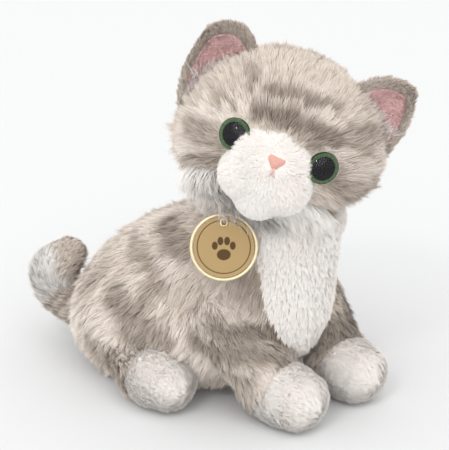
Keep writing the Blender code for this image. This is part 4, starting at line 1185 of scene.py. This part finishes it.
# tag disc: rings from the rim to the eyelet's hole on each face; the hole is off the middle, so each
# ring slides from the rim's circle to the hole's
faceShare = np.linspace(0, 1, tag["rows"])[:, None]
turn = np.linspace(0, 2 * math.pi, tag["columns"], endpoint=False)[None]
outerR = tag["radius"] - tag["rim"] - 0.25
x = np.cos(turn) * (outerR * (1 - faceShare) + 2.3 * faceShare)
y = np.sin(turn) * (outerR * (1 - faceShare) + 2.3 * faceShare) + tag["holeUp"] * faceShare
deep = engraving(x, y)
layers = []
for level in (0.6, -0.6):
    height = (np.sign(level) * (0.6 + 0.08 * (1 - ramp(0.0, 0.03, faceShare)))
              - (0.16 * deep if level > 0 else 0))
    layers.append(tag["centre"] + tagSide * x[..., None] + tagUp * y[..., None]
                  + tag["normal"] * (height + 0 * x)[..., None])
discGrid = np.concatenate([layers[0], layers[1][::-1]])
discPoints, discFaces = closedSkin(discGrid, wrapped=True)
discTint = tone(158, 134, 94) * (1 - deep[..., None]) + tone(78, 58, 32) * deep[..., None]
backTint = tone(158, 134, 94) + 0 * discTint
discColour = np.concatenate([discTint, backTint[::-1]]).reshape(-1, 3)
tagDisc = makePiece("tagDisc", discPoints, discFaces, tagFaceMaterial, discColour)
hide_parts("tag_disc")

# tag rim: a rounded band, R - rim/2 + rim/2 cos, 1.05 sin
turn = np.linspace(0, 2 * math.pi, 20, endpoint=False)
bandOut = tag["radius"] - tag["rim"] / 2 + np.cos(turn) * tag["rim"] / 2
profile = np.stack([1.05 * np.sign(np.sin(turn)) * np.abs(np.sin(turn)) ** 0.7, bandOut], -1)
rimPoints, rimFaces = closedSkin(latheGrid(profile, tag["centre"], tag["normal"], 200), wrapped=True)
tagRim = makePiece("tagRimBand", rimPoints, rimFaces, tagRimMaterial)
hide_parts("tag_rim")
rideWith("tag", tagDisc, tagRim)


# the pieces carried over as they are get woven, spun or metal finishes
print("hidden pieces")
carried = {
    "stuffing": mottledMaterial("polyFill", tone(238, 238, 234), tone(250, 250, 248), 180, 0.8,
                                {"Roughness": 1.0}),
    "bean": mottledMaterial("beanCloth", tone(205, 203, 194), tone(224, 222, 214), 420, 0.5,
                            {"Roughness": 0.9}),
    "washer": mottledMaterial("lockWasher", tone(236, 236, 230), tone(242, 242, 238), 60, 0.1,
                              {"Roughness": 0.45}),
    "seat": mottledMaterial("seatCloth", tone(150, 138, 126), tone(196, 186, 174), 260, 0.9,
                            {"Roughness": 0.95}),
    "cord": mottledMaterial("tagCord", tone(150, 128, 92), tone(186, 164, 124), 1400, 0.7,
                            {"Roughness": 0.8}),
    "metal": mottledMaterial("eyeletBrass", tone(206, 180, 124), tone(222, 200, 148), 300, 0.1,
                             {"Roughness": 0.28, "Metallic": 0.9}),
}
for name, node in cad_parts.items():
    if node.hide_render:
        continue
    kind = ("stuffing" if "stuffing" in name else "bean" if "bean" in name else "washer" if "washer" in name
            else "cord" if name == "tag_loop" else "metal" if name == "tag_eyelet" else "seat")
    node.data.materials.clear()
    node.data.materials.append(carried[kind])


print("stage")
stage = {"floor": tone(214, 215, 216), "world": 1.15, "sun": 1.0, "sunAngle": 70, "glint": 2.4}
floorMaterial = freshMaterial("paleFloor", {"Base Color": (*stage["floor"], 1), "Roughness": 0.9,
                                            "Specular IOR Level": 0.1})[0]
corners = np.array([(-6000, -6000, 0), (6000, -6000, 0), (6000, 6000, 0), (-6000, 6000, 0)], float)
floor = makePiece("floor", corners, [np.array([[0, 1, 2, 3]])], floorMaterial)

world = bpy.data.worlds.new("paleRoom")
world.use_nodes = True
world.node_tree.nodes["Background"].inputs["Color"].default_value = (1.0, 0.994, 0.985, 1)
world.node_tree.nodes["Background"].inputs["Strength"].default_value = stage["world"]
bpy.context.scene.world = world


# turn a lamp so that it looks at a point
def aimAt(obj, target):
    obj.rotation_euler = (Vector(target) - obj.location).to_track_quat("-Z", "Y").to_euler()


# a sun of an angle in degrees, or a flat lamp of a size in metres
def addLight(name, kind, place, energy, size):
    data = bpy.data.lights.new(name, kind)
    data.energy = energy
    if kind == "SUN":
        data.angle = math.radians(size)
    else:
        data.shape = "RECTANGLE"
        data.size, data.size_y = size
    made = bpy.data.objects.new(name, data)
    bpy.context.scene.collection.objects.link(made)
    made.location = place
    aimAt(made, (-0.02, -0.05, 0.1))
    return made


addLight("overheadSoft", "SUN", (-0.8, -0.7, 1.2), stage["sun"], stage["sunAngle"])
addLight("glintBox", "AREA", (-1.0, -0.35, 1.15), stage["glint"], (0.20, 0.145))

target = Vector((-0.022, -0.05, 0.1))
cameraData = bpy.data.cameras.new("camera")
cameraData.lens = 143.4
cameraData.sensor_width = 36
cameraData.clip_end = 30
camera = bpy.data.objects.new("camera", cameraData)
bpy.context.scene.collection.objects.link(camera)
camera.location = target - Vector((0.7102, 0.5960, -0.3746)) * 0.95
camera.rotation_euler = (target - camera.location).to_track_quat("-Z", "Y").to_euler()
bpy.context.scene.camera = camera
bpy.context.scene.view_settings.view_transform = "Standard"
